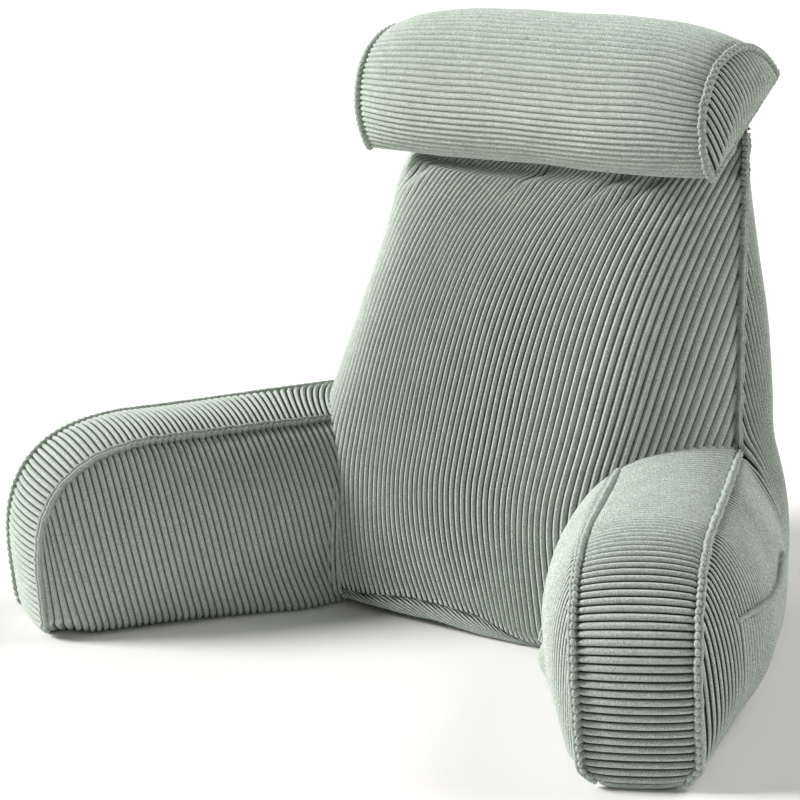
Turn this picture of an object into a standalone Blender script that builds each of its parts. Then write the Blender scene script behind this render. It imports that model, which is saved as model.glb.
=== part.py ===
"""Reading pillow with arms: a filled wedge backrest, two splayed arms and a neck roll.

Metres, X across the pillow, Y towards its back, Z up. The origin is on the floor,
under the middle of the whole pillow.
"""
import math

import bmesh
import bpy
import numpy as np

# Driving dimensions.
CENTRE_SHIFT = 0.0078       # brings the middle of the whole pillow over the origin
GAP = 0.0003                # kept between two pieces that touch
ARM_EDGE_ROUND = 0.016      # the arms' lower edges roll under over this height
BASE_EDGE_ROUND = 0.022     # the backrest's lower edge is fuller
ARM_ROOT = (0.178, 0.0135)  # plan place of the inner boxing seam's back end
ARM_SPLAY = math.radians(26.9)
ARM_LENGTH = 0.328
ARM_HEIGHT_BACK = 0.1715
ARM_HEIGHT_NOSE = 0.1865
NOSE_RUN = 0.130            # length along the arm over which the nose turns down
NOSE_DROP = 0.131
NOSE_POWER = 2.64
TOE_TUCK = 0.001
TOE_HEIGHT = 0.004          # the boxing seams stop this far above the floor
OUTER_REACH = 0.0535        # the outer boxing seam runs this much further back
SKEW_FADE = 0.16            # length of arm over which the slanted root straightens
BOXING_WIDTHS = (0.109, 0.107, 0.099)   # at the back, halfway and at the toe
BOXING_CROWN = 0.011
ROOT_BOW = 0.0095           # how far the backrest bulges over the arm's root

BACKREST_TOP = 0.4605       # height of the top corners
FRONT_TOP_MIDDLE = 0.4385   # height of the front panel's top edge, halfway across
FRONT_FOOT_Y = -0.068
FRONT_LEAN = 0.502          # metres back for each metre up
FRONT_CROWN = 0.034
SEAT_CORNER_POWER = 5.0     # how squarely the front panel turns back at its sides
TOP_CORNER_POWER = 3.4
BACK_POWER = 2.6            # the same for the back panel
CREST_RISE = 0.024          # the back panel's top edge stands this much higher halfway
ROLL_MIDDLE = (0.202, 0.4642)           # y and z of the middle of the roll's flat side
ROLL_TILT = math.radians(31.5)
ROLL_HALF_FLAT = 0.0715
ROLL_RISE = 0.0795
ROLL_LENGTH = 0.422
ROLL_BARREL = 0.027         # extra fullness halfway along the roll
ROLL_BARREL_POWER = 5       # how abruptly that fullness dies away at the ends
ROLL_END_DOME = 0.014
ROLL_END_CENTRE = 0.42      # height of the dome's middle as a share of the roll's rise

ALLOWANCE_HEIGHT = 0.0065   # the exposed seam allowances
ALLOWANCE_WIDTH = 0.0052
ARM_ALLOWANCE_LEAN = math.radians(26)
SIDE_ALLOWANCE_HEIGHT = 0.007
POCKET_EDGE_HEIGHT = 0.0035
POCKET_STAND = 0.0002       # clearance under the pocket's bound edge

# Inner and outer panels of an arm: place along the arm, how far the cloth stands out
# from the seam line at the floor, and how far at mid height.
INNER_PANEL = {
    "along": (0.0, 0.062, 0.13, 0.19, 0.262, 0.328),
    "floor": (0.082, 0.082, 0.057, 0.036, 0.018, 0.002),
    "middle": (0.054, 0.059, 0.056, 0.046, 0.028, 0.0),
}
OUTER_PANEL = {
    "along": (-0.0535, 0.05, 0.15, 0.25, 0.30, 0.328),
    "floor": (0.030, 0.028, 0.013, -0.006, -0.008, -0.001),
    "middle": (0.040, 0.045, 0.045, 0.029, 0.014, 0.0),
}
PANEL_FULLEST = 0.42        # share of the height at which an arm panel stands out most
ROOT_FOOT_INNER = 0.070     # along the arm, where the front panel reaches the floor
TOE_FOOT = 0.004            # the panels' lowest corners stop this far short of the toe

# The seam between the front panel and a gusset, above the arm.
SIDE_SEAM = {
    "z": (0.1715, 0.3055, 0.4355, 0.4605),
    "x": (0.2490, 0.2240, 0.2006, 0.1960),
    "y": (0.1085, 0.1660, 0.2196, 0.2300),
}
# The corner between a gusset and the back panel, from the floor up.
BACK_CORNER = {
    "z": (0.0, 0.1755, 0.2705, 0.3955, 0.4605),
    "x": (0.222, 0.212, 0.203, 0.184, 0.172),
    "y": (0.166, 0.195, 0.212, 0.236, 0.249),
    "gusset_bulge": (0.008, 0.026, 0.020, 0.006, 0.002),
    "panel_bulge": (0.016, 0.030, 0.030, 0.022, 0.014),
}

# The pocket's mouth on the right arm's outer panel: along the arm and height.
POCKET_MOUTH = {
    "along": (0.061, 0.104, 0.158, 0.206, 0.248),
    "height": (0.103, 0.1005, 0.1075, 0.1165, 0.1245),
}

# How finely each part of the outline is stepped.
PANEL_ROWS = (0.0, 0.03, 0.07, 0.13, 0.24, 0.36, 0.5, 0.64, 0.76, 0.87, 0.94, 1.0)
UPPER_ROWS = 16
WALL_STEPS = 8
GUSSET_STEPS = 6
FRONT_STEPS = 20
BACK_STEPS = FRONT_STEPS + 2 * WALL_STEPS - 2 * GUSSET_STEPS
BOXING_STEPS = WALL_STEPS
BOTTOM_STEPS = 8
CROWN_STEPS = 28
FLAT_STEPS = 8
ROLL_STEPS = 22
END_RINGS = (0.15, 0.5, 0.8, 0.95)
LINE_STEPS = 18


def smooth_table(at, places, values):
    """Read a table with a smooth curve that never overshoots its rows."""
    places = np.asarray(places, float)
    values = np.asarray(values, float)
    at = np.clip(at, places[0], places[-1])
    slopes = np.diff(values) / np.diff(places)
    turning = slopes[:-1] * slopes[1:] <= 0
    shared = np.where(turning, 0.0, 2 * slopes[:-1] * slopes[1:])
    total = slopes[:-1] + slopes[1:]
    middle = np.divide(shared, total, out=np.zeros_like(shared), where=np.abs(total) > 1e-12)
    tangents = np.concatenate([slopes[:1], middle, slopes[-1:]])
    row = np.clip(np.searchsorted(places, at, side="right") - 1, 0, len(places) - 2)
    step = places[row + 1] - places[row]
    t = (at - places[row]) / step
    return ((1 + 2 * t) * (1 - t) ** 2 * values[row] + t * (1 - t) ** 2 * step * tangents[row]
            + t * t * (3 - 2 * t) * values[row + 1] + t * t * (t - 1) * step * tangents[row + 1])


def edge_inset(height, full):
    """How far a lower edge has rolled under at a height above the floor."""
    if full <= 0 or height >= full:
        return 0.0
    drop = 1 - height / full
    return full * (1 - math.sqrt(max(0.0, 1 - drop * drop)))


# ---------------------------------------------------------------- the arms

ARM_ALONG = np.array([math.sin(ARM_SPLAY), -math.cos(ARM_SPLAY), 0.0])
ARM_ACROSS = np.array([math.cos(ARM_SPLAY), math.sin(ARM_SPLAY), 0.0])
ARM_START = np.array([ARM_ROOT[0], ARM_ROOT[1], 0.0])


def arm_stations():
    """Places along the boxing seam as (along, height, slope angle, share of its length)."""
    run = ARM_LENGTH - NOSE_RUN
    points = []
    for s in np.linspace(0, run, 11):
        points.append((s, ARM_HEIGHT_BACK + (ARM_HEIGHT_NOSE - ARM_HEIGHT_BACK) * s / run))
    for turn in np.linspace(0, math.pi / 2, 15)[1:]:
        points.append((run + NOSE_RUN * math.sin(turn) ** (2 / NOSE_POWER),
                       ARM_HEIGHT_NOSE - NOSE_DROP + NOSE_DROP * math.cos(turn) ** (2 / NOSE_POWER)))
    shin = ARM_HEIGHT_NOSE - NOSE_DROP
    for z in np.linspace(shin, TOE_HEIGHT, 5)[1:]:
        points.append((ARM_LENGTH - TOE_TUCK * ((shin - z) / shin) ** 2, z))
    points = np.array(points)
    lengths = np.concatenate([[0], np.cumsum(np.hypot(*np.diff(points, axis=0).T))])
    tangents = np.gradient(points, axis=0)
    slopes = np.arctan2(tangents[:, 1], tangents[:, 0])
    return [(s, z, a, share) for (s, z), a, share in zip(points, slopes, lengths / lengths[-1])]


def boxing_half_width(share):
    back, middle, toe = BOXING_WIDTHS
    return 0.5 * (back * (1 - share) * (1 - 2 * share) + 4 * middle * share * (1 - share)
                  + toe * share * (2 * share - 1))


def panel_bulge(panel, along, height, seam_height):
    """How far an arm panel stands out from its boxing seam's line."""
    floor = smooth_table(along, panel["along"], panel["floor"])
    middle = smooth_table(along, panel["along"], panel["middle"])
    share = min(height / max(seam_height, 1e-6), 1.0)
    if share < PANEL_FULLEST:
        low = share / PANEL_FULLEST
        return floor + (middle - floor) * low * (2 - low)
    high = (share - PANEL_FULLEST) / (1 - PANEL_FULLEST)
    return middle * (1 - high ** 2.2) ** 0.8


def arm_panel_point(side, top_along, foot_along, half_width, seam_height, row):
    """A point of the inner (side -1) or outer (side 1) panel, row 0 at the floor."""
    panel = INNER_PANEL if side < 0 else OUTER_PANEL
    z = row * seam_height
    along = foot_along + (top_along - foot_along) * row
    out = panel_bulge(panel, along, z, seam_height)
    out -= edge_inset(z, min(ARM_EDGE_ROUND, 0.5 * seam_height))
    across = boxing_half_width(0) + side * (half_width + out)
    point = ARM_START + ARM_ALONG * along + ARM_ACROSS * across
    point[2] = z
    return point


def root_lines(row):
    """The inner and outer upright lines where the arm meets the backrest."""
    half = boxing_half_width(0)
    inner = arm_panel_point(-1, 0.0, ROOT_FOOT_INNER, half, ARM_HEIGHT_BACK, row)
    outer = arm_panel_point(1, -OUTER_REACH, -OUTER_REACH, half, ARM_HEIGHT_BACK, row)
    return inner, outer


def root_wall(across, row):
    """The wall between arm and backrest: across 0 at the seat side, 1 outside."""
    inner, outer = root_lines(row)
    point = inner + (outer - inner) * across
    chord = outer - inner
    towards_arm = np.array([chord[1], -chord[0], 0.0]) / np.linalg.norm(chord)
    swell = 1 - (2 * across - 1) ** 2
    point = point + towards_arm * ROOT_BOW * swell
    point[2] += BOXING_CROWN * swell * row ** 6
    return point, towards_arm


def station_lines(along, share):
    """Half the boxing's width and the outer and foot places of one arm station."""
    half = boxing_half_width(share)
    fade = max(0.0, 1 - along / SKEW_FADE) ** 2
    outer_along = along - OUTER_REACH * fade
    last_foot = ARM_LENGTH - TOE_TUCK - TOE_FOOT
    foot_inner = ROOT_FOOT_INNER + (last_foot - ROOT_FOOT_INNER) * share
    foot_outer = -OUTER_REACH + (last_foot + OUTER_REACH) * share
    return half, fade, outer_along, foot_inner, foot_outer


def root_loop():
    """The arm's first loop, around the wall that it shares with the backrest."""
    places = [(0.0, row) for row in PANEL_ROWS]
    places += [(k / BOXING_STEPS, 1.0) for k in range(1, BOXING_STEPS)]
    places += [(1.0, row) for row in reversed(PANEL_ROWS)]
    places += [(1 - k / BOTTOM_STEPS, 0.0) for k in range(1, BOTTOM_STEPS)]
    loop = []
    for across, row in places:
        point, push = root_wall(across, row)
        loop.append(point + push * GAP / 2)
    return loop


def arm_loops():
    """Closed loops from the root to the toe: up the inner panel, over, down, back under."""
    loops = [root_loop()]
    widest = boxing_half_width(0)
    for along, seam, slope, share in arm_stations()[1:]:
        half, fade, outer_along, foot_inner, foot_outer = station_lines(along, share)
        loop = [arm_panel_point(-1, along, foot_inner, half, seam, row) for row in PANEL_ROWS]
        normal = -ARM_ALONG * math.sin(slope) + np.array([0, 0, math.cos(slope)])
        start = ARM_START + ARM_ALONG * along + ARM_ACROSS * (widest - half)
        finish = ARM_START + ARM_ALONG * outer_along + ARM_ACROSS * (widest + half)
        start[2] = finish[2] = seam
        ahead = ARM_ALONG * ROOT_BOW * fade
        rise = BOXING_CROWN * min(1.0, 0.35 + 1.3 * (1 - share))
        for k in range(1, BOXING_STEPS):
            across = k / BOXING_STEPS
            swell = 1 - (2 * across - 1) ** 2
            loop.append(start + (finish - start) * across + (normal * rise + ahead) * swell)
        loop += [arm_panel_point(1, outer_along, foot_outer, half, seam, row)
                 for row in reversed(PANEL_ROWS)]
        under_from = loop[-1]
        for k in range(1, BOTTOM_STEPS):
            across = k / BOTTOM_STEPS
            loop.append(under_from * (1 - across) + loop[0] * across)
        loops.append(loop)
    return loops


def root_face(side):
    """The wall's points as rows, moved half a gap to the arm (1) or the backrest (-1)."""
    rows = []
    for row in PANEL_ROWS:
        line = []
        for k in range(WALL_STEPS + 1):
            point, push = root_wall(k / WALL_STEPS, row)
            line.append(point + push * side * GAP / 2)
        rows.append(line)
    return rows


# ------------------------------------------------------------ the backrest

def front_middle_y(z):
    """The middle of the front panel, which leans back and swells forward."""
    share = z / FRONT_TOP_MIDDLE
    return FRONT_FOOT_Y + FRONT_LEAN * z - FRONT_CROWN * 4 * share * (1 - share)


def side_seam(z):
    """The side seam's place at a height above the arm."""
    return (float(smooth_table(z, SIDE_SEAM["z"], SIDE_SEAM["x"])),
            float(smooth_table(z, SIDE_SEAM["z"], SIDE_SEAM["y"])))


def front_power(z):
    """How squarely the front panel turns back at its sides."""
    share = (z - ARM_HEIGHT_BACK) / (BACKREST_TOP - ARM_HEIGHT_BACK)
    share = min(max(share, 0.0), 1.0)
    return SEAT_CORNER_POWER + (TOP_CORNER_POWER - SEAT_CORNER_POWER) * share


def front_y(x, z):
    """The front panel above the arms."""
    edge_x, edge_y = side_seam(z)
    middle = front_middle_y(z)
    return middle + (edge_y - middle) * min(abs(x) / edge_x, 1.0) ** front_power(z)


def roll_plane_z(y):
    """Height of the roll's flat side above a place on the backrest."""
    return ROLL_MIDDLE[1] + (y - ROLL_MIDDLE[0]) * math.tan(ROLL_TILT)


def front_top(x_share):
    """The front panel's top edge, just under the roll's flat side."""
    z = FRONT_TOP_MIDDLE + (BACKREST_TOP - FRONT_TOP_MIDDLE) * abs(x_share) ** 3
    for _ in range(60):
        y = front_y(x_share * side_seam(z)[0], z)
        if z <= roll_plane_z(y) - 2 * GAP:
            break
        z -= 0.0005
    return z


def back_corner(z, column):
    return float(smooth_table(z, BACK_CORNER["z"], BACK_CORNER[column]))


def mirrored(point):
    return np.array([-point[0], point[1], point[2]])


def gusset_line(start, z):
    """From the side seam to the back corner, a full curve."""
    corner = np.array([back_corner(z, "x"), back_corner(z, "y"), z])
    chord = corner - start
    outward = np.array([chord[1], -chord[0], 0.0]) / np.linalg.norm(chord[:2])
    control = (start + corner) / 2 + 2 * outward * back_corner(z, "gusset_bulge")
    inset = edge_inset(z, BASE_EDGE_ROUND)
    line = []
    for k in range(GUSSET_STEPS + 1):
        t = k / GUSSET_STEPS
        point = (1 - t) ** 2 * start + 2 * t * (1 - t) * control + t * t * corner
        line.append(point - outward * inset * t)
    return line


def back_line(corner, z):
    """Across the back panel from the right corner to the left one."""
    bulge = back_corner(z, "panel_bulge")
    rest = bulge - edge_inset(z, BASE_EDGE_ROUND)
    line = []
    for k in range(BACK_STEPS + 1):
        t = 1 - 2 * k / BACK_STEPS
        swell = 1 - abs(t) ** BACK_POWER
        line.append(np.array([corner[0] * t, corner[1] + rest * swell, z]))
    return line


def low_front_line(corner, z):
    """Across the seat side below the arms' tops, from the left corner to the right."""
    middle = front_middle_y(z) + edge_inset(z, BASE_EDGE_ROUND)
    line = []
    for k in range(FRONT_STEPS + 1):
        a = front_share(k)
        y = middle + (corner[1] - middle) * abs(a) ** SEAT_CORNER_POWER
        line.append(np.array([corner[0] * a, y, z]))
    return line


def front_share(k):
    """Columns of the front panel lie closer together towards its sides."""
    t = 2 * k / FRONT_STEPS - 1
    return math.copysign(1 - (1 - abs(t)) ** 1.35, t)


def backrest_loops():
    """Closed loops from the floor to the top edge, each from the left seat corner round."""
    loops = []
    wall = root_face(-1)
    for row, line in zip(PANEL_ROWS, wall):
        z = row * ARM_HEIGHT_BACK
        front = low_front_line(line[0], z)
        gusset = gusset_line(line[-1], z)
        loops.append(join_loop(front, line, gusset, back_line(gusset[-1], z)))
    seat_share = wall[-1][0][0] / side_seam(ARM_HEIGHT_BACK)[0]
    for k in range(1, UPPER_ROWS + 1):
        rise = k / UPPER_ROWS
        front = []
        for c in range(FRONT_STEPS + 1):
            share = front_share(c) * seat_share
            front.append(upper_front_point(share, ARM_HEIGHT_BACK, rise))
        line = [front[-1]]
        for c in range(1, WALL_STEPS + 1):
            share = seat_share + (1 - seat_share) * c / WALL_STEPS
            start = wall[-1][c][2]
            line.append(upper_front_point(share, start, rise))
        z = ARM_HEIGHT_BACK + (BACKREST_TOP - ARM_HEIGHT_BACK) * rise
        gusset = gusset_line(line[-1], z)
        back = back_line(gusset[-1], z)
        for point in back:
            t = point[0] / max(gusset[-1][0], 1e-6)
            crest = roll_plane_z(point[1]) - 2 * GAP - BACKREST_TOP
            point[2] += rise ** 3 * min(CREST_RISE, crest) * (1 - t * t)
        loops.append(join_loop(front, line, gusset, back))
    return loops


def upper_front_point(share, start, rise):
    top = front_top(share)
    z = start + (top - start) * rise
    x = share * side_seam(z)[0]
    return np.array([x, front_y(x, z), z])


def join_loop(front, wall, gusset, back):
    """One closed loop out of the right half's lines and their mirror images."""
    loop = list(front)
    loop += wall[1:]
    loop += gusset[1:]
    loop += back[1:]
    loop += [mirrored(p) for p in reversed(gusset[:-1])]
    loop += [mirrored(p) for p in reversed(wall[1:-1])]
    return loop


# ------------------------------------------------------------ the neck roll

def roll_frame():
    flat = np.array([0.0, math.cos(ROLL_TILT), math.sin(ROLL_TILT)])
    up = np.array([0.0, -math.sin(ROLL_TILT), math.cos(ROLL_TILT)])
    return flat, up, np.array([0.0, ROLL_MIDDLE[0], ROLL_MIDDLE[1]])


def roll_section(x, fullness):
    """The D of the roll at a place along it; fullness 0 at the ends and 1 halfway."""
    flat, up, middle = roll_frame()
    points = []
    for k in range(CROWN_STEPS + 1):
        turn = math.pi * k / CROWN_STEPS
        point = middle - flat * ROLL_HALF_FLAT * math.cos(turn) + up * ROLL_RISE * math.sin(turn)
        outward = -flat * ROLL_RISE * math.cos(turn) + up * ROLL_HALF_FLAT * math.sin(turn)
        outward /= np.linalg.norm(outward)
        point = point + outward * ROLL_BARREL * fullness * math.sin(turn) ** 0.7
        points.append(point)
    for k in range(1, FLAT_STEPS):
        t = 1 - 2 * k / FLAT_STEPS
        points.append(middle + flat * ROLL_HALF_FLAT * t)
    return [p + np.array([x, 0.0, 0.0]) for p in points]


def roll_fullness(share):
    """Share -1 to 1 along the roll."""
    return 1 - abs(share) ** ROLL_BARREL_POWER


def roll_loops():
    """Rings from the left end's middle, over the wrap, to the right end's middle."""
    rings = []
    half = ROLL_LENGTH / 2
    flat, up, middle = roll_frame()
    centre = middle + up * ROLL_RISE * ROLL_END_CENTRE
    rim = roll_section(0.0, 0.0)

    def end_ring(share, side):
        x = side * (half + ROLL_END_DOME * (1 - share ** 2.4))
        return [centre + (p - centre) * share + np.array([x, 0, 0]) for p in rim]

    for share in END_RINGS:
        rings.append(end_ring(share, -1))
    for k in range(ROLL_STEPS + 1):
        t = 2 * k / ROLL_STEPS - 1
        t = math.copysign(1 - (1 - abs(t)) ** 1.25, t)
        rings.append(roll_section(t * half, roll_fullness(t)))
    for share in reversed(END_RINGS):
        rings.append(end_ring(share, 1))
    return rings


# -------------------------------------------------- the exposed seam allowances

def allowance_mesh(name, places, outward, closed=False, height=ALLOWANCE_HEIGHT):
    """A narrow standing band along a seam: places on the seam and which way it stands."""
    places = np.array(places)
    outward = np.array(outward)
    count = len(places)
    if closed:
        ahead = np.roll(places, -1, axis=0) - np.roll(places, 1, axis=0)
    else:
        ahead = np.gradient(places, axis=0)
    loops = []
    half = ALLOWANCE_WIDTH / 2
    section = ((-half, 2 * GAP), (-half, height * 0.62), (-half * 0.5, height),
               (half * 0.5, height), (half, height * 0.62), (half, 2 * GAP))
    for place, up, along in zip(places, outward, ahead):
        along = along / np.linalg.norm(along)
        up = up - along * np.dot(up, along)
        up = up / np.linalg.norm(up)
        across = np.cross(along, up)
        loops.append([place + across * a + up * b for a, b in section])
    bm = bmesh.new()
    rings = [[bm.verts.new(p) for p in loop] for loop in loops]
    for i in range(count if closed else count - 1):
        bridge(bm, rings[i], rings[(i + 1) % count])
    if not closed:
        bm.faces.new(rings[0])
        bm.faces.new(rings[-1])
    return finish_mesh(name, bm)


def boxing_seam(side):
    """The inner (-1) or outer (1) boxing seam of the right arm with its outward ways."""
    places = []
    ways = []
    for along, seam, slope, share in arm_stations():
        half, _, outer_along, _, _ = station_lines(along, share)
        if side > 0:
            along = outer_along
        point = ARM_START + ARM_ALONG * along + ARM_ACROSS * (boxing_half_width(0) + side * half)
        point[2] = seam
        normal = -ARM_ALONG * math.sin(slope) + np.array([0, 0, math.cos(slope)])
        places.append(point)
        ways.append(normal * math.cos(ARM_ALLOWANCE_LEAN)
                    + ARM_ACROSS * side * math.sin(ARM_ALLOWANCE_LEAN))
    return places[1:], ways[1:]


def side_seam_line():
    """The right side seam from above the arm to just under the roll."""
    places = []
    ways = []
    for z in np.linspace(ARM_HEIGHT_BACK + 0.016, BACKREST_TOP - 0.012, LINE_STEPS):
        x, y = side_seam(z)
        places.append(np.array([x, y, z]))
        ways.append(np.array([0.93, -0.36, 0.0]))
    return places, ways


def roll_end_line():
    """Around the right end of the roll."""
    flat, up, middle = roll_frame()
    centre = middle + up * ROLL_RISE * ROLL_END_CENTRE
    rim = roll_section(ROLL_LENGTH / 2, 0.0)
    ways = []
    for k, point in enumerate(rim):
        after = rim[(k + 1) % len(rim)]
        before = rim[k - 1]
        along = after - before
        radial = np.cross(np.array([1.0, 0.0, 0.0]), along)
        if np.dot(radial, point - centre - np.array([ROLL_LENGTH / 2, 0, 0])) < 0:
            radial = -radial
        ways.append(radial / np.linalg.norm(radial) * 0.8 + np.array([0.6, 0.0, 0.0]))
    return rim, ways


def outer_panel_point(along, height):
    """A place on the right arm's outer panel."""
    places = []
    for top, seam, _, share in arm_stations():
        if seam > height:
            half, _, outer_along, _, foot_outer = station_lines(top, share)
            point = arm_panel_point(1, outer_along, foot_outer, half, seam, height / seam)
            point = point - ARM_START
            places.append((np.dot(point, ARM_ALONG), np.dot(point, ARM_ACROSS)))
    alongs, acrosses = np.array(places).T
    point = ARM_START + ARM_ALONG * along + ARM_ACROSS * np.interp(along, alongs, acrosses)
    point[2] = height
    return point


def pocket_mouth_line():
    places = []
    for along in np.linspace(POCKET_MOUTH["along"][0], POCKET_MOUTH["along"][-1], LINE_STEPS):
        height = float(smooth_table(along, POCKET_MOUTH["along"], POCKET_MOUTH["height"]))
        places.append(outer_panel_point(along, height) + ARM_ACROSS * POCKET_STAND)
    return places, [ARM_ACROSS for _ in places]


# ------------------------------------------------------------------- meshes

def bridge(bm, ring, other):
    """Quads between two rings of equal length."""
    count = len(ring)
    for i in range(count):
        j = (i + 1) % count
        bm.faces.new((ring[i], ring[j], other[j], other[i]))


def strips(bm, rows):
    """Quads over a grid of vertices."""
    for row, above in zip(rows, rows[1:]):
        for i in range(len(row) - 1):
            bm.faces.new((row[i], row[i + 1], above[i + 1], above[i]))


def finish_mesh(name, bm):
    for vertex in bm.verts:
        vertex.co.y += CENTRE_SHIFT
    bmesh.ops.remove_doubles(bm, verts=bm.verts, dist=1e-7)
    bmesh.ops.triangulate(bm, faces=bm.faces)
    bmesh.ops.recalc_face_normals(bm, faces=bm.faces)
    mesh = bpy.data.meshes.new(name)
    bm.to_mesh(mesh)
    bm.free()
    mesh.shade_smooth()
    mesh.set_sharp_from_angle(angle=math.radians(40))
    return mesh


def across_cap(bm, ring, half, layers, lift):
    """Close a ring by lines from one half of it to the other, so the cap stays even."""
    count = len(ring)
    near = [ring[(half + k) % count] for k in range(count // 2 + 1)]
    far = [ring[(half - k) % count] for k in range(count // 2 + 1)]
    rows = [near]
    for layer in range(1, layers):
        t = layer / layers
        row = [near[0]]
        for a, b in zip(near[1:-1], far[1:-1]):
            place = a.co * (1 - t) + b.co * t
            place.z += lift * math.sin(math.pi * t)
            row.append(bm.verts.new(place))
        row.append(near[-1])
        rows.append(row)
    rows.append(far)
    for row, above in zip(rows, rows[1:]):
        for i in range(len(row) - 1):
            corners = [row[i], row[i + 1], above[i + 1], above[i]]
            unique = [v for n, v in enumerate(corners) if v not in corners[:n]]
            bm.faces.new(unique)


def backrest_mesh():
    bm = bmesh.new()
    rings = [[bm.verts.new(p) for p in loop] for loop in backrest_loops()]
    for ring, above in zip(rings, rings[1:]):
        bridge(bm, ring, above)
    # The caps' lines run between the two side seams.
    right_seam = FRONT_STEPS + WALL_STEPS
    across_cap(bm, rings[0], right_seam, 6, 0.0)
    across_cap(bm, rings[-1], right_seam, 3, -0.0004)
    return finish_mesh("backrest", bm)


def arm_mesh():
    bm = bmesh.new()
    loops = arm_loops()
    rings = [[bm.verts.new(p) for p in loop] for loop in loops]
    for ring, ahead in zip(rings, rings[1:]):
        bridge(bm, ring, ahead)
    rows = len(PANEL_ROWS)
    root = rings[0]
    inner = root[:rows]
    top = root[rows:rows + BOXING_STEPS - 1]
    outer = list(reversed(root[rows + BOXING_STEPS - 1:2 * rows + BOXING_STEPS - 1]))
    bottom = list(reversed(root[2 * rows + BOXING_STEPS - 1:]))
    grid = []
    for index, row in enumerate(PANEL_ROWS):
        if index == 0:
            middle = bottom
        elif index == rows - 1:
            middle = top
        else:
            middle = []
            for k in range(1, BOXING_STEPS):
                point, push = root_wall(k / BOXING_STEPS, row)
                middle.append(bm.verts.new(point + push * GAP / 2))
        grid.append([inner[index]] + list(middle) + [outer[index]])
    strips(bm, grid)
    bm.faces.new(rings[-1])
    return finish_mesh("arm", bm)


def roll_mesh():
    bm = bmesh.new()
    rings = [[bm.verts.new(p) for p in ring] for ring in roll_loops()]
    for ring, ahead in zip(rings, rings[1:]):
        bridge(bm, ring, ahead)
    bm.faces.new(rings[0])
    bm.faces.new(rings[-1])
    return finish_mesh("neck_roll", bm)


def mirrored_mesh(mesh, name):
    copy = mesh.copy()
    copy.name = name
    for vertex in copy.vertices:
        vertex.co.x = -vertex.co.x
    copy.flip_normals()
    return copy


# ---------------------------------------------------------------- materials

def cloth_material(name, red, green, blue, roughness):
    """A plain woven-pile cloth colour."""
    material = bpy.data.materials.new(name)
    material.use_nodes = True
    shader = material.node_tree.nodes["Principled BSDF"]
    shader.inputs["Base Color"].default_value = (red, green, blue, 1.0)
    shader.inputs["Roughness"].default_value = roughness
    shader.inputs["Metallic"].default_value = 0.0
    return material


def place(mesh, name, material):
    mesh.materials.clear()
    mesh.materials.append(material)
    piece = bpy.data.objects.new(name, mesh)
    bpy.context.scene.collection.objects.link(piece)
    return piece


def main():
    for old in list(bpy.data.objects):
        bpy.data.objects.remove(old)
    corduroy = cloth_material("corduroy_sage", 0.330, 0.381, 0.326, 0.92)
    roll_cloth = cloth_material("corduroy_sage_roll", 0.345, 0.395, 0.340, 0.92)
    edge_cloth = cloth_material("corduroy_seam_edge", 0.270, 0.315, 0.268, 0.95)
    place(backrest_mesh(), "backrest", corduroy)
    right_arm = arm_mesh()
    left_arm = mirrored_mesh(right_arm, "arm_left")
    place(right_arm, "arm_right", corduroy)
    place(left_arm, "arm_left", corduroy)
    place(roll_mesh(), "neck_roll", roll_cloth)
    lines = (
        ("seam_arm_{}_inner", boxing_seam(-1), False, ALLOWANCE_HEIGHT),
        ("seam_arm_{}_outer", boxing_seam(1), False, ALLOWANCE_HEIGHT),
        ("seam_side_{}", side_seam_line(), False, SIDE_ALLOWANCE_HEIGHT),
        ("seam_roll_{}", roll_end_line(), True, ALLOWANCE_HEIGHT),
    )
    for name, (places, ways), closed, height in lines:
        right = allowance_mesh(name.format("right"), places, ways, closed, height)
        left = mirrored_mesh(right, name.format("left"))
        place(right, name.format("right"), edge_cloth)
        place(left, name.format("left"), edge_cloth)
    places, ways = pocket_mouth_line()
    pocket = allowance_mesh("pocket_edge", places, ways, False, POCKET_EDGE_HEIGHT)
    place(pocket, "pocket_edge", edge_cloth)


main()
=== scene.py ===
"""Reading pillow with arms, dressed in wide-wale corduroy.

Metres, X across the pillow, Y towards its back, Z up. Every panel is cut from ribbed cloth:
its mesh lines follow the wales, so each rib is real relief and ends in a seam as it does
on the sewn cover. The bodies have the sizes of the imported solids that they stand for.
"""

import math

import bpy
import numpy as np
from mathutils import Matrix, Vector


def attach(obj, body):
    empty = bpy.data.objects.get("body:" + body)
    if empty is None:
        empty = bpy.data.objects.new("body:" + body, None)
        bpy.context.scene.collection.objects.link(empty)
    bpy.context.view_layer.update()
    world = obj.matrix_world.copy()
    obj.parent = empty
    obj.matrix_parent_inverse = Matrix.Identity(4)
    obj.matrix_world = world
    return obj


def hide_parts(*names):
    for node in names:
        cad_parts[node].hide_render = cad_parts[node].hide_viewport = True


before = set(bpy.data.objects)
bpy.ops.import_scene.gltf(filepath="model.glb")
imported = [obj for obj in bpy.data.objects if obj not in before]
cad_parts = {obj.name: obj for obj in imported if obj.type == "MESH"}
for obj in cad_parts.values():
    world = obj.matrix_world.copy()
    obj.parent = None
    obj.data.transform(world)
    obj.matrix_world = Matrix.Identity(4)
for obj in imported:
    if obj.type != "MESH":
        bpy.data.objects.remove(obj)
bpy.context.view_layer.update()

# ------------------------------------------------------------------ sizes

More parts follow.
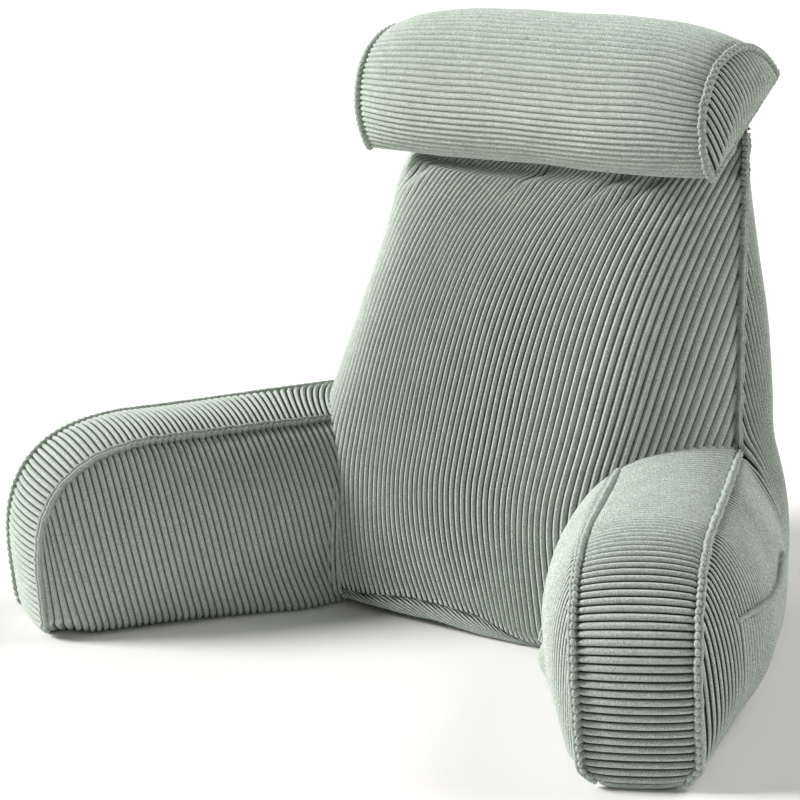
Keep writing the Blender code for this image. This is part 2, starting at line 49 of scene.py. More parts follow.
CENTRE_SHIFT = 0.0078       # brings the middle of the whole pillow over the origin
ARM_ROOT = (0.178, 0.0135)  # plan place of the inner boxing seam's back end
ARM_SPLAY = math.radians(26.9)
ARM_LENGTH = 0.328
ARM_HEIGHT_BACK = 0.1715
ARM_HEIGHT_NOSE = 0.1865
ARM_RISE = ARM_HEIGHT_NOSE - ARM_HEIGHT_BACK
NOSE_RUN = 0.130
NOSE_DROP = 0.131
NOSE_POWER = 2.64
NOSE_START = ARM_LENGTH - NOSE_RUN
SHIN_TOP = ARM_HEIGHT_NOSE - NOSE_DROP
OUTER_REACH = 0.0535        # the outer boxing seam starts this much further back
SKEW_FADE = 0.16
BOXING_WIDTHS = (0.109, 0.107, 0.099)
BOXING_CROWN = 0.011
ARM_MIDDLE = BOXING_WIDTHS[0] / 2
ROOT_BOW = 0.0095
PANEL_SHY = 0.0012          # an arm panel's last mesh line stops this short of the toe
TOE_CORNER = 0.026          # height that the toe's gathered corners reach
ARM_EDGE_ROUND = 0.016
BASE_EDGE_ROUND = 0.022
BASE_HALF = 0.216
BACKREST_TOP = 0.4605
BACK_FULLNESS = 2.6         # how squarely the back panel swells between its corners
FRONT_TOP_MIDDLE = 0.4385
FRONT_FOOT_Y = -0.068
FRONT_LEAN = 0.502
FRONT_CROWN = 0.034
SLOPE_FRONT = 0.4285        # height at which the slope under the roll starts
ROLL_MIDDLE = (0.202, 0.4642)
ROLL_TILT = math.radians(31.5)
ROLL_HALF_FLAT = 0.0715
ROLL_RISE = 0.0795
ROLL_LENGTH = 0.422
ROLL_BARREL = 0.027
ROLL_END_DOME = 0.014
ALLOWANCE_HEIGHT = 0.0060
FLOOR_HALF = 14.0

# The first column of each table is the place that the others are read at.
# How far an arm's panel stands out at the floor and at mid height, along the arm.
INNER_PANEL = {
    "along": (0.0, 0.062, 0.13, 0.19, 0.262, 0.328),
    "floor": (0.082, 0.082, 0.057, 0.036, 0.018, 0.002),
    "middle": (0.054, 0.059, 0.056, 0.046, 0.028, 0.0),
}
OUTER_PANEL = {
    "along": (-0.0535, 0.05, 0.15, 0.25, 0.30, 0.328),
    "floor": (0.030, 0.028, 0.013, -0.006, -0.008, -0.001),
    "middle": (0.040, 0.045, 0.045, 0.029, 0.014, 0.0),
}
PANEL_FULLEST = 0.42
SIDE_SEAM = {
    "z": (0.1715, 0.3055, 0.4355, 0.4605),
    "x": (0.2490, 0.2240, 0.2006, 0.1960),
    "y": (0.1085, 0.1660, 0.2196, 0.2300),
}
BACK_CORNER = {
    "z": (0.0, 0.1755, 0.2705, 0.3955, 0.4605),
    "x": (0.222, 0.212, 0.203, 0.184, 0.172),
    "y": (0.166, 0.195, 0.212, 0.236, 0.249),
    "gusset_bulge": (0.008, 0.026, 0.020, 0.006, 0.002),
    "panel_bulge": (0.016, 0.030, 0.030, 0.022, 0.014),
}
POCKET_MOUTH = {
    "along": (0.061, 0.104, 0.158, 0.206, 0.248),
    "height": (0.103, 0.1005, 0.1075, 0.1165, 0.1245),
}
POCKET_BACK = -0.035
POCKET_FRONT = 0.2545
POCKET_FOOT = 0.012
POCKET_PRESS = 0.0036       # the panel is pressed in this far under the pocket's cloth
# The fold between an arm's inner panel and the front panel: where its two sides lie.
FOLD = {
    "z": (0.012, 0.065, 0.105, 0.145),
    "along": (0.052, 0.043, 0.037, 0.021),
    "x": (0.1185, 0.129, 0.141, 0.165),
}
# Height of the seam between the front panel and the base, across the pillow.
BASE_SEAM = ((-0.20, -0.10, -0.02, 0.05, 0.12, 0.20), (0.015, 0.020, 0.028, 0.0255, 0.007, 0.005))

# How closely the front panel's wales lie from left to right, and how many wales' width
# the filling pushes them to the right at the foot and under the roll.
FRONT_GATHER = ((-0.25, -0.17, -0.08, 0.05, 0.14, 0.20, 0.25),
                (1.0, 0.82, 1.25, 0.96, 0.97, 1.2, 1.5))
FOOT_PUSH = ((-0.25, -0.14, 0.0, 0.06, 0.14, 0.25), (7.5, 6.5, 8.5, 7.5, 3.5, 2.5))
FOOT_REACH = 0.15
TOP_PUSH = ((-0.25, -0.13, -0.04, 0.06, 0.14, 0.25), (9.5, 11.0, 14.8, 11.3, 5.8, 3.0))
TOP_START = 0.22
# Tucks that the roll presses into the front panel's top: x, height, length, depth.
TUCKS = ((0.004, 0.418, 0.026, 0.0040), (0.095, 0.416, 0.026, 0.0042),
         (0.131, 0.412, 0.024, 0.0036), (-0.150, 0.404, 0.020, 0.0030),
         (0.172, 0.394, 0.014, 0.0015))
CREASE_HEIGHT = 0.4095      # where the front panel turns back under the roll
CREASE_DEPTH = 0.012

# The cloth.
PITCH = 0.0072              # one wale of wide-wale corduroy
RELIEF = 0.0036             # from the groove to the crest of a wale
ARM_GATHER = 1.10           # the arms' panels are eased in, so their wales lie closer
GUSSET_GATHER = 1.72
BOXING_GATHER = ((-0.08, 0.10, 0.22, 0.30, 0.36, 0.48), (1.25, 1.23, 1.17, 1.10, 1.02, 0.98))
ROLL_GATHER = ((0.0, 0.10, 0.30, 0.60, 1.0), (1.15, 1.11, 1.05, 1.02, 1.0))
ROLL_END_GATHER = 1.30
BASE_GATHER = 2.1
WALE_LINES = (0.0, 0.08, 0.19, 0.33, 0.5, 0.67, 0.81, 0.92)     # mesh lines across a wale
COARSE_LINES = (0.0, 0.12, 0.33, 0.5, 0.67, 0.88)
SPARSE_LINES = (0.0, 0.2, 0.5, 0.8)      # where a panel is hardly seen
SEAM_DIP = 0.0028           # the stitching pulls the cloth in this far
SEAM_REACH = 0.009          # over this width
TUFT = 0.0009               # a tuft of the cut pile, across
PATCH = 0.017               # where a hand has brushed the pile

# Each lamp's name, azimuth, height and width in degrees, and power.
LAMPS = (("key", -117, 32, 18, 4.3), ("side_fill", -80, 34, 36, 0.35),
         ("back_light", 38, 41, 38, 1.8))
WORLD_LIGHT = 0.16
LENS = 118.48              # millimetres, on a 36 mm sensor
CAMERA_PLACE = (1.55955, -1.89537, 1.00114)
CAMERA_WAYS = ((0.77159, 0.63146, -0.07681), (-0.13455, 0.28003, 0.95051),
               (0.62172, -0.72307, 0.30104))    # its right, its up and its back

ARM_ALONG = np.array([math.sin(ARM_SPLAY), -math.cos(ARM_SPLAY), 0.0])
ARM_ACROSS = np.array([math.cos(ARM_SPLAY), math.sin(ARM_SPLAY), 0.0])
ARM_START = np.array([ARM_ROOT[0], ARM_ROOT[1], 0.0])
SIDEWAYS = np.array([1.0, 0.0, 0.0])
UP = np.array([0.0, 0.0, 1.0])
ROLL_FLAT = np.array([0.0, math.cos(ROLL_TILT), math.sin(ROLL_TILT)])
ROLL_UP = np.array([0.0, -math.sin(ROLL_TILT), math.cos(ROLL_TILT)])
ROLL_CENTRE = np.array([0.0, ROLL_MIDDLE[0], ROLL_MIDDLE[1]])


# ------------------------------------------------------------ small helpers

def smooth_table(at, places, values):
    """Read a table with a smooth curve that never overshoots its rows."""
    places = np.asarray(places, float)
    values = np.asarray(values, float)
    at = np.clip(at, places[0], places[-1])
    slopes = np.diff(values) / np.diff(places)
    turning = slopes[:-1] * slopes[1:] <= 0
    shared = np.where(turning, 0.0, 2 * slopes[:-1] * slopes[1:])
    total = slopes[:-1] + slopes[1:]
    middle = np.divide(shared, total, out=np.zeros_like(shared), where=np.abs(total) > 1e-12)
    tangents = np.concatenate([slopes[:1], middle, slopes[-1:]])
    row = np.clip(np.searchsorted(places, at, side="right") - 1, 0, len(places) - 2)
    step = places[row + 1] - places[row]
    t = (at - places[row]) / step
    return ((1 + 2 * t) * (1 - t) ** 2 * values[row] + t * (1 - t) ** 2 * step * tangents[row]
            + t * t * (3 - 2 * t) * values[row + 1] + t * t * (t - 1) * step * tangents[row + 1])


def look_up(table, column, at):
    """Read a column of a table by its first column."""
    return smooth_table(at, next(iter(table.values())), table[column])


def seam_line(table, heights):
    """A seam's points at these heights."""
    return np.stack([look_up(table, "x", heights), look_up(table, "y", heights), heights], 1)


def ease(t):
    """0 to 1 with no corner at either end."""
    t = np.clip(t, 0.0, 1.0)
    return t * t * (3 - 2 * t)


def edge_inset(height, full):
    """How far a lower edge has rolled under at a height above the floor."""
    drop = 1 - np.clip(height / full, 0.0, 1.0)
    return full * (1 - np.sqrt(np.clip(1 - drop * drop, 0.0, 1.0)))


def drift(a, b, seed):
    """Slow unevenness between -1 and 1 over two cloth coordinates in metres."""
    total = 0.0
    for n, (size, share) in enumerate(((0.27, 0.5), (0.16, 0.3), (0.09, 0.2))):
        shift = seed * 1.7 + n * 2.3
        wave = np.sin(a / size * 6.28 + shift)
        total = total + share * wave * np.cos(b / size * 5.1 - shift * 1.3)
    return total


def wale_height(u):
    """Height of the pile over the groove, 0 to 1, at a place across the wales."""
    return np.abs(np.sin(math.pi * u / PITCH)) ** 0.95


def wale_columns(low, high, lines=WALE_LINES):
    """Mesh lines across the wales between two places, the ends included."""
    first = math.floor(low / PITCH)
    last = math.ceil(high / PITCH)
    places = [(n + share) * PITCH for n in range(first, last + 1) for share in lines]
    inside = [u for u in places if low + 1e-4 < u < high - 1e-4]
    return np.array([low] + inside + [high])


def flat_cloth(places, gather, whole=False):
    """Places along a panel and the length of flat cloth up to each, where the cloth is eased in.

    whole makes the wales come out even, for cloth that closes on itself.
    """
    at = np.linspace(places[0], places[-1], 600)
    rate = np.interp(at, places, gather)
    cloth = np.concatenate([[0], np.cumsum((rate[1:] + rate[:-1]) / 2 * np.diff(at))])
    if whole:
        return at, cloth * round(cloth[-1] / PITCH) * PITCH / cloth[-1]
    return at, cloth - np.interp(0.0, at, cloth)


def eased_columns(places, gather, whole=False, lines=WALE_LINES):
    """Each mesh line's place in flat cloth and its place on the panel."""
    at, cloth = flat_cloth(places, gather, whole)
    u = wale_columns(cloth[0], cloth[-1], lines)
    return u, np.interp(u, cloth, at)


def lattice_normals(points):
    """Unit normals of a grid of points."""
    down = np.gradient(points, axis=0)
    across = np.gradient(points, axis=1)
    normal = np.cross(across, down)
    size = np.linalg.norm(normal, axis=2, keepdims=True)
    return normal / np.maximum(size, 1e-12)


def turned(normal, way):
    """Normals turned to the side that a way points to."""
    return normal * np.sign((normal * way).sum(-1, keepdims=True) + 1e-9)


def arc_lengths(points):
    """Length along each row of a grid of points."""
    steps = np.linalg.norm(np.diff(points, axis=1), axis=2)
    return np.concatenate([np.zeros((len(points), 1)), np.cumsum(steps, axis=1)], axis=1)


def read_line(points, lengths, places):
    """Read a line of points at these places along it."""
    return np.stack([np.interp(places, lengths, column) for column in points.T], 1)


def read_rows(grid, lengths, places):
    """Read each row of a grid of points at its own places along that row."""
    return np.array([read_line(*row) for row in zip(grid, lengths, places)])


def laid_on(lattice, lengths, places, way):
    """Points of a grid at places along its rows, and its normals there turned to a way."""
    normal = read_rows(lattice_normals(lattice), lengths, places)
    return read_rows(lattice, lengths, places), turned(normal, way)


def live_columns(inside):
    """The first and last mesh line of each row that lies inside its seams, and one beyond."""
    last = inside.shape[1] - 1
    return [(max(row[0] - 1, 0), min(row[-1] + 1, last)) for row in map(np.flatnonzero, inside)]


class Cover:
    """Collects the panels of one sewn piece and makes its mesh."""

    def __init__(self):
        self.points = []
        self.faces = []
        self.pile_and_shade = []
        self.count = 0

    def add(self, grid, pile_and_shade, keep=(), flip=False):
        """A grid of rows by columns. keep gives each row's first and last live column."""
        rows, columns = grid.shape[:2]
        index = np.arange(rows * columns).reshape(rows, columns) + self.count
        for row, (first, last) in zip(index, keep):
            row[:first] = row[first]
            row[last:] = row[last]
        self.points.append(grid.reshape(-1, 3))
        self.pile_and_shade.append(np.broadcast_to(pile_and_shade, (rows, columns)).reshape(-1))
        self.count += rows * columns
        corners = [index[:-1, :-1], index[:-1, 1:], index[1:, 1:], index[1:, :-1]]
        faces = np.stack([corner.ravel() for corner in corners[::-1 if flip else 1]], 1)
        live = (faces[:, 0] != faces[:, 1]) | (faces[:, 2] != faces[:, 3])
        self.faces += faces[live].tolist()

    def finish(self, name, material, mirror=False):
        """The piece's object, with the pile height and painted groove shade kept at each of its points."""
        points = np.concatenate(self.points)
        points[:, 1] += CENTRE_SHIFT
        points[:, 2] = np.maximum(points[:, 2], 0.0)
        if mirror:
            points[:, 0] *= -1
        faces = [list(dict.fromkeys(face)) for face in self.faces]
        faces = [face[::-1 if mirror else 1] for face in faces if len(face) > 2]
        used = np.zeros(len(points), bool)
        used[[v for face in faces for v in face]] = True
        renumber = (np.cumsum(used) - 1).tolist()
        mesh = bpy.data.meshes.new(name)
        mesh.from_pydata(points[used].tolist(), [], [[renumber[v] for v in face] for face in faces])
        mesh.update()
        # How far each point's colour goes towards the groove colour: partly the cloth's short pile there,
        # partly painted shade.
        layer = mesh.attributes.new("pile_and_shade", "FLOAT", "POINT")
        layer.data.foreach_set("value", np.concatenate(self.pile_and_shade)[used].astype(np.float32))
        mesh.shade_smooth()
        mesh.materials.append(material)
        piece = bpy.data.objects.new(name, mesh)
        bpy.context.scene.collection.objects.link(piece)
        return piece


def ribbed(base, normal, u, edge, relief=RELIEF, lift=0.0, strength=1.0, hem=0.0,
           dip=SEAM_DIP, groove_shade=1.0):
    """Raise the wales of a panel; edge is the distance in metres from the nearest seam.

    Within the hem the cloth comes back to the seam's line, so that two panels meet on it.
    The last argument is how wide the grooves look: painted shade that spreads up the wales, set panel by
    panel for how the light falls on it.
    """
    height = wale_height(u)
    near = 1 - ease(edge / SEAM_REACH)
    strength = strength * (1 - 0.25 * near)
    out = (height - 0.5) * relief * strength - dip * near ** 1.5 + lift
    if hem:
        out = out * ease(edge / hem)
    # Painted shade in the grooves, deeper near a seam; only part of the grooves' darkness is the cloth's own
    # shorter pile.
    pile_and_shade = np.clip(1 - groove_shade * (1 - height * (1 - 0.30 * near)), 0, 1)
    return base + normal * out[..., None], pile_and_shade


# ----------------------------------------------------------------- the arms

def seam_height_at(along):
    """Height of a boxing seam over a place along the arm, back of the toe."""
    flat = ARM_HEIGHT_BACK + ARM_RISE * np.minimum(along, NOSE_START) / NOSE_START
    t = np.clip((along - NOSE_START) / NOSE_RUN, 0.0, 1.0)
    nose = SHIN_TOP + NOSE_DROP * (1 - t ** NOSE_POWER) ** (1 / NOSE_POWER)
    return np.where(along < NOSE_START, flat, nose)


def boxing_line():
    """The boxing's middle line: length, place along the arm, height and slope."""
    back = np.linspace(-0.024, NOSE_START, 90)
    rise = ARM_HEIGHT_BACK + ARM_RISE * back / NOSE_START
    turn = np.linspace(0, math.pi / 2, 160)[1:]
    nose_along = NOSE_START + NOSE_RUN * np.sin(turn) ** (2 / NOSE_POWER)
    nose_height = SHIN_TOP + NOSE_DROP * np.maximum(np.cos(turn), 0) ** (2 / NOSE_POWER)
    low = np.linspace(SHIN_TOP, 0.0, 30)[1:]
    shin_along = ARM_LENGTH - 0.001 * ((SHIN_TOP - low) / SHIN_TOP) ** 2
    along = np.concatenate([back, nose_along, shin_along])
    height = np.concatenate([rise, nose_height, low])
    length = np.concatenate([[0], np.cumsum(np.hypot(np.diff(along), np.diff(height)))])
    length -= np.interp(0.0, back, length[:len(back)])
    even = np.linspace(length[0], length[-1], 600)
    along = np.interp(even, length, along)
    height = np.interp(even, length, height)
    slope = np.arctan2(np.gradient(height), np.gradient(along))
    for _ in range(6):
        slope[1:-1] = (slope[:-2] + 2 * slope[1:-1] + slope[2:]) / 4
    return even, along, height, slope


BOXING_LENGTH, BOXING_ALONG, BOXING_HEIGHT, BOXING_SLOPE = boxing_line()
BOXING_PLACES = np.linspace(BOXING_LENGTH[0], BOXING_LENGTH[-1], 80)
BOXING_PLACES, BOXING_CLOTH = flat_cloth(BOXING_PLACES, np.interp(BOXING_PLACES, *BOXING_GATHER))


def boxing_half_width(share):
    """Half the boxing's width at a share of the way down it."""
    back, middle, toe = BOXING_WIDTHS
    share = np.clip(share, 0.0, 1.0)
    return 0.5 * (back * (1 - share) * (1 - 2 * share) + 4 * middle * share * (1 - share)
                  + toe * share * (2 * share - 1))


def half_width_at(along):
    """Half the boxing's width over a place along the arm, back of the toe."""
    return boxing_half_width(np.interp(along, BOXING_ALONG, BOXING_LENGTH) / BOXING_LENGTH[-1])


def arm_place(along, across, height):
    """A point of the right arm; across 0 is the boxing's middle."""
    along, across, height = np.broadcast_arrays(along, across, height)
    return (ARM_START + along[..., None] * ARM_ALONG + (ARM_MIDDLE + across)[..., None] * ARM_ACROSS
            + height[..., None] * UP)


def boxing_seam_points(length, side):
    """Points of the inner (-1) or outer (1) boxing seam and the ways the boxing faces."""
    along = np.interp(length, BOXING_LENGTH, BOXING_ALONG)
    height = np.interp(length, BOXING_LENGTH, BOXING_HEIGHT)
    slope = np.interp(length, BOXING_LENGTH, BOXING_SLOPE)
    half = boxing_half_width(length / BOXING_LENGTH[-1])
    if side > 0:
        along = along - OUTER_REACH * np.maximum(0.0, 1 - along / SKEW_FADE) ** 2
    normal = -ARM_ALONG * np.sin(slope)[:, None] + UP * np.cos(slope)[:, None]
    return arm_place(along, side * half, height), normal


def panel_bulge(panel, along, height, seam_height):
    """How far an arm panel stands out from its boxing seam's line."""
    floor = look_up(panel, "floor", along)
    middle = look_up(panel, "middle", along)
    share = np.clip(height / np.maximum(seam_height, 1e-6), 0.0, 1.0)
    low = np.clip(share / PANEL_FULLEST, 0.0, 1.0)
    high = np.clip((share - PANEL_FULLEST) / (1 - PANEL_FULLEST), 0.0, 1.0)
    below = floor + (middle - floor) * low * (2 - low)
    root = ease((0.07 - along) / 0.11) if panel is OUTER_PANEL else 0.0
    above = middle * (1 - high ** (2.2 - 0.6 * root)) ** (0.8 + 0.25 * root)
    return np.where(share < PANEL_FULLEST, below, above)


def panel_top(along_at):
    """Height at which each wale of an arm panel meets the boxing seam."""
    low = 0.0 * along_at(0.0)
    high = low + 0.2
    for _ in range(40):
        middle = (low + high) / 2
        above = seam_height_at(along_at(middle)) > middle
        low = np.where(above, middle, low)
        high = np.where(above, high, middle)
    return low


def panel_point(side, along, height):
    """A point of the arm's inner (-1) or outer (1) panel, before its wales are raised."""
    panel = INNER_PANEL if side < 0 else OUTER_PANEL
    seam = np.maximum(seam_height_at(along), height)
    out = panel_bulge(panel, along, height, seam) - edge_inset(height, ARM_EDGE_ROUND)
    return arm_place(along, side * (half_width_at(along) + out), height)


def toe_round(points):
    """Roll the boxing's foot back under the toe and gather its two corners up."""
    foot = edge_inset(points[..., 2], 0.013) * 0.75
    along = (points - ARM_START) @ ARM_ALONG
    near = ease((along - ARM_LENGTH + 0.05) / 0.05)
    across = ((points - ARM_START) @ ARM_ACROSS - ARM_MIDDLE) / 0.05
    low = ease((TOE_CORNER - points[..., 2]) / TOE_CORNER) * near
    pinch = 0.011 * low ** 1.3 * across
    rise = 0.0055 * low * np.minimum(np.abs(across), 1.2) ** 4
    return (points - (foot * near)[..., None] * ARM_ALONG - pinch[..., None] * ARM_ACROSS
            + rise[..., None] * UP)


def inner_panel(cover, groove_shade):
    """The seat side of an arm; its wales lean a little back from the toe."""
    rows = np.linspace(0, 1, 40)
    rows = ease(rows) * 0.5 + rows * 0.5
    wales = wale_columns(-0.085 * ARM_GATHER, (ARM_LENGTH - PANEL_SHY) * ARM_GATHER)
    place = wales / ARM_GATHER
    end = 1 - ease((place - ARM_LENGTH + 0.03) / 0.03)

    def along_at(height):
        up = height - 0.012
        return place + end * up * (0.20 - 0.55 * np.minimum(up, 0.19)) - 0.006 * end

    top = panel_top(along_at)
    height = rows[:, None] * top
    along = along_at(height)
    base = toe_round(panel_point(-1, along, height))
    normal = lattice_normals(base)
    normal *= -np.sign((normal @ ARM_ACROSS).mean())
    edge = np.maximum(np.minimum(top - height, ARM_LENGTH - along + 0.004), 0)
    lift = 0.0016 * drift(along, height, 1.0)
    grid, pile_and_shade = ribbed(base, normal, wales, edge, lift=lift, groove_shade=groove_shade)
    cover.add(grid, pile_and_shade)
    return grid[0]


def side_sheet():
    """The gusset as points by height and by share of the way from the back corner."""
    heights = np.linspace(0.0, BACKREST_TOP, 260)
    lattice = side_line(heights, 90)
    lengths = arc_lengths(lattice)
    even = np.linspace(0, 1, lattice.shape[1]) * lengths[:, -1:]
    return heights, read_rows(lattice, lengths, even), lengths[:, -1]


def side_panel():
    """The gusset and the arm's outer panel, cut in one: the wales run on across both."""
    heights, sheet, reach = side_sheet()
    root = float(np.interp(ARM_HEIGHT_BACK, heights, reach))
    above = heights >= ARM_HEIGHT_BACK
    wales, place = eased_columns((-root, -0.02, 0.0, ARM_LENGTH + OUTER_REACH - PANEL_SHY),
                                 (GUSSET_GATHER, GUSSET_GATHER, ARM_GATHER, ARM_GATHER))
    behind = place < 0
    arm_along = np.maximum(place, 0) - OUTER_REACH
    gusset_place = np.minimum(place, 0) + root
    seam_z = np.interp(-gusset_place, -reach[above], heights[above])
    top = np.where(behind, seam_z, panel_top(lambda height: arm_along))
    rows = np.linspace(0, 1, 46)[:, None]
    height = rows * top
    arm_part = toe_round(panel_point(1, arm_along, height))
    local = np.where(height > ARM_HEIGHT_BACK, np.interp(height, heights, reach), root)
    share = np.clip(gusset_place / local, 0, 1) * (sheet.shape[1] - 1)
    level = np.interp(height, heights, np.arange(len(heights)))
    r = np.minimum(level.astype(int), len(heights) - 2)
    c = np.minimum(share.astype(int), sheet.shape[1] - 2)
    a, b = (share - c)[..., None], (level - r)[..., None]
    gusset_part = ((sheet[r, c] * (1 - a) + sheet[r, c + 1] * a) * (1 - b)
                   + (sheet[r + 1, c] * (1 - a) + sheet[r + 1, c + 1] * a) * b)
    base = np.where(behind[:, None], gusset_part, arm_part)
    for _ in range(3):
        base[1:-1, 1:-1] += 0.25 * (base[:-2, 1:-1] + base[2:, 1:-1] - 2 * base[1:-1, 1:-1])
    # Where the gusset turns into the arm the panel is rounded, less and less towards its top.
    rounded = np.mean([[read_line(row, place, place + shift) for row in base]
                       for shift in np.linspace(-0.028, 0.028, 9)], axis=0)
    soft = np.exp(-(place / 0.035) ** 2) * ease((1 - rows) / 0.35)
    base = base + (rounded - base) * soft[..., None]
    normal = turned(lattice_normals(base), (1.0, 0.3, 0.0))
    arm_edge = np.minimum(top - height, ARM_LENGTH - arm_along + 0.004)
    low_edge = np.hypot(root - gusset_place, np.maximum(ARM_HEIGHT_BACK - height, 0))
    gusset_edge = np.where(height > ARM_HEIGHT_BACK, local - gusset_place, low_edge)
    gusset_edge = np.minimum(gusset_edge, gusset_place)
    edge = np.maximum(np.where(behind, gusset_edge, arm_edge), 0)
    # Under the pocket's layer of cloth the panel is pressed in.
    mouth = look_up(POCKET_MOUTH, "height", arm_along)
    pressed = ease((POCKET_FRONT - arm_along) / 0.006) * ease((arm_along + 0.032) / 0.03)
    pressed = pressed * ease((mouth - height) / 0.004) * ease((height - 0.013) / 0.006)
    lift = 0.0016 * drift(wales, height, 4.0) - POCKET_PRESS * np.where(behind, 0.0, pressed)
    # Painted groove shade, twice as much on the outer panel as on the gusset, for how the light falls on
    # each.
    grid, pile_and_shade = ribbed(base, normal, wales, edge, lift=lift, strength=np.where(behind, 0.95, 1.25),
                        hem=0.003, groove_shade=np.where(behind, 1.2, 2.4))
    return grid, pile_and_shade, int(np.argmin(np.abs(place)))


def boxing(cover):
    """The strip over the top of the arm and down its nose; the wales run across it."""
    wales = wale_columns(BOXING_CLOTH[0], BOXING_CLOTH[-1])
    lengths = np.interp(wales, BOXING_CLOTH, BOXING_PLACES)
    down = np.clip(lengths / BOXING_LENGTH[-1], 0, 1)
    across = np.linspace(-1, 1, 27)[:, None]
    across = np.sign(across) * np.abs(across) ** 0.8
    inner, facing = boxing_seam_points(lengths, -1)
    outer, _ = boxing_seam_points(lengths, 1)
    along = np.interp(lengths, BOXING_LENGTH, BOXING_ALONG)
    fade = np.maximum(0.0, 1 - along / SKEW_FADE) ** 2
    rise = BOXING_CROWN * np.minimum(1.0, 0.35 + 1.3 * (1 - down))
    share = (across + 1) / 2
    swell = 1 - np.abs(across) ** 2.3
    base = inner * (1 - share[..., None]) + outer * share[..., None]
    base = base + swell[..., None] * (facing * rise[:, None] + ARM_ALONG * (ROOT_BOW * fade)[:, None])
    base = toe_round(base)
    width = np.linalg.norm(outer - inner, axis=1)
    edge = (1 - np.abs(across)) * width / 2
    lift = 0.0010 * drift(lengths, share * 0.1, 7.0)
    # Painted groove shade, set for how the light falls on the boxing.
    grid, pile_and_shade = ribbed(base, turned(lattice_normals(base), facing), wales, edge * 1.3, lift=lift,
                        strength=1.12, dip=0.0036, groove_shade=1.15)
    cover.add(grid, pile_and_shade, flip=True)


def fold_strip(cover):
    """The cloth folds in beside the arm's root; a few wales show inside the fold."""
    rows = np.linspace(FOLD["z"][0], FOLD["z"][-1], 34)
    near = panel_point(-1, look_up(FOLD, "along", rows), rows) + ARM_ACROSS * 0.0050
    x = look_up(FOLD, "x", rows)
    far = np.stack([x, front_face(x, rows) + 0.0065, rows], 1)
    wales = wale_columns(0.0, 4 * PITCH)
    share = wales / wales[-1]
    base = near[:, None] * (1 - share[:, None]) + far[:, None] * share[:, None]
    normal = lattice_normals(base)
    normal *= np.sign(-normal[..., 0].mean())
    narrow = np.clip(np.linalg.norm(far - near, axis=1) / (4 * PITCH), 0.25, 1.0)[:, None]
    height = wale_height(wales)
    out = 0.0035 * np.sin(math.pi * share) + (height - 0.5) * RELIEF * 0.8 * narrow
    # The fold's wales are painted a little darker: painted shade inside the fold.
    cover.add(base + normal * out[..., None], height * 0.8)


def underside(cover, inner_foot, outer_foot):
    """The flat of the arm, on the floor."""
    steps = np.linspace(-OUTER_REACH + 0.001, ARM_LENGTH - 0.012, 46)
    wales = wale_columns(0.0, 0.2, COARSE_LINES)
    share = (wales / wales[-1])[:, None]
    edges = []
    for foot in (inner_foot, outer_foot):
        along = (foot - ARM_START) @ ARM_ALONG
        order = np.argsort(along)
        edges.append(read_line(foot[order], along[order], steps)[:, None])
    under = edges[0] * (1 - share) + edges[1] * share
    under[..., 2] = 0.0012 * (1 - wale_height(wales))
    cover.add(under, wale_height(wales))


def pocket_patch(cover):
    """The side pocket: a second layer of cloth on the outer panel, below its mouth."""
    wales = wale_columns(POCKET_BACK * ARM_GATHER, POCKET_FRONT * ARM_GATHER)
    along = wales / ARM_GATHER
    mouth = look_up(POCKET_MOUTH, "height", along)
    rows = np.linspace(0, 1, 34)[:, None]
    height = POCKET_FOOT + (mouth - POCKET_FOOT) * rows
    slant = 0.010 * ease((along - 0.15) / 0.1) * (1 - rows)
    base = panel_point(1, along + slant, height)
    front_gap = POCKET_FRONT - along
    raised = 0.0018 * ease(front_gap / 0.007) * ease((along - POCKET_BACK) / 0.05)
    raised = raised * (0.35 + 0.65 * ease(rows / 0.3)) * ease((mouth - height) / 0.0035)
    crest = wale_height(wales)
    near = 1 - ease(np.minimum(front_gap, mouth - height) / 0.006)
    out = raised - 0.0006 + (crest - 0.5) * RELIEF * (1 - 0.5 * near)
    grid = base + turned(lattice_normals(base), ARM_ACROSS) * out[..., None]
    # Painted shade: wide dark grooves, and darker still along the pocket's mouth and front edge.
    cover.add(grid, np.clip(1 - 1.7 * (1 - crest), 0, 1) * (1 - 0.3 * near), flip=True)


def arm_cover(pocket):
    """The right arm's cover as one piece; mirrored, and without the pocket, it is the left's."""
    cover = Cover()
    # Painted groove shade: far more on the right arm's inner panel than on the left's, for how the light
    # falls on each.
    inner_foot = inner_panel(cover, 2.7 if pocket else 0.95)
    grid, pile_and_shade, root = side_panel()
    cover.add(grid[:, root:], pile_and_shade[:, root:], flip=True)
    boxing(cover)
    fold_strip(cover)
    underside(cover, inner_foot, grid[0, root:])
    if pocket:
        pocket_patch(cover)
    return cover


# ------------------------------------------------------------- the backrest

def above_arms(z):
    """0 at the arms' tops, 1 at the backrest's."""
    return np.clip((z - ARM_HEIGHT_BACK) / (BACKREST_TOP - ARM_HEIGHT_BACK), 0, 1)


def front_y(x, z):
    """The front panel's place towards the back."""
    share = z / FRONT_TOP_MIDDLE
    middle = FRONT_FOOT_Y + FRONT_LEAN * z - FRONT_CROWN * 4 * share * (1 - share)
    edge_x = look_up(SIDE_SEAM, "x", z)
    edge_y = look_up(SIDE_SEAM, "y", z)
    power = 5.0 - 1.6 * above_arms(z)
    return middle + (edge_y - middle) * np.minimum(np.abs(x) / edge_x, 1.0) ** power


def front_face(x, z):
    """The front panel's place towards the back, with its foot rolled under."""
    return front_y(x, z) + edge_inset(z, BASE_EDGE_ROUND)


def roll_plane_z(y):
    """Height of the roll's flat side above a place on the backrest."""
    return ROLL_MIDDLE[1] + (y - ROLL_MIDDLE[0]) * math.tan(ROLL_TILT)


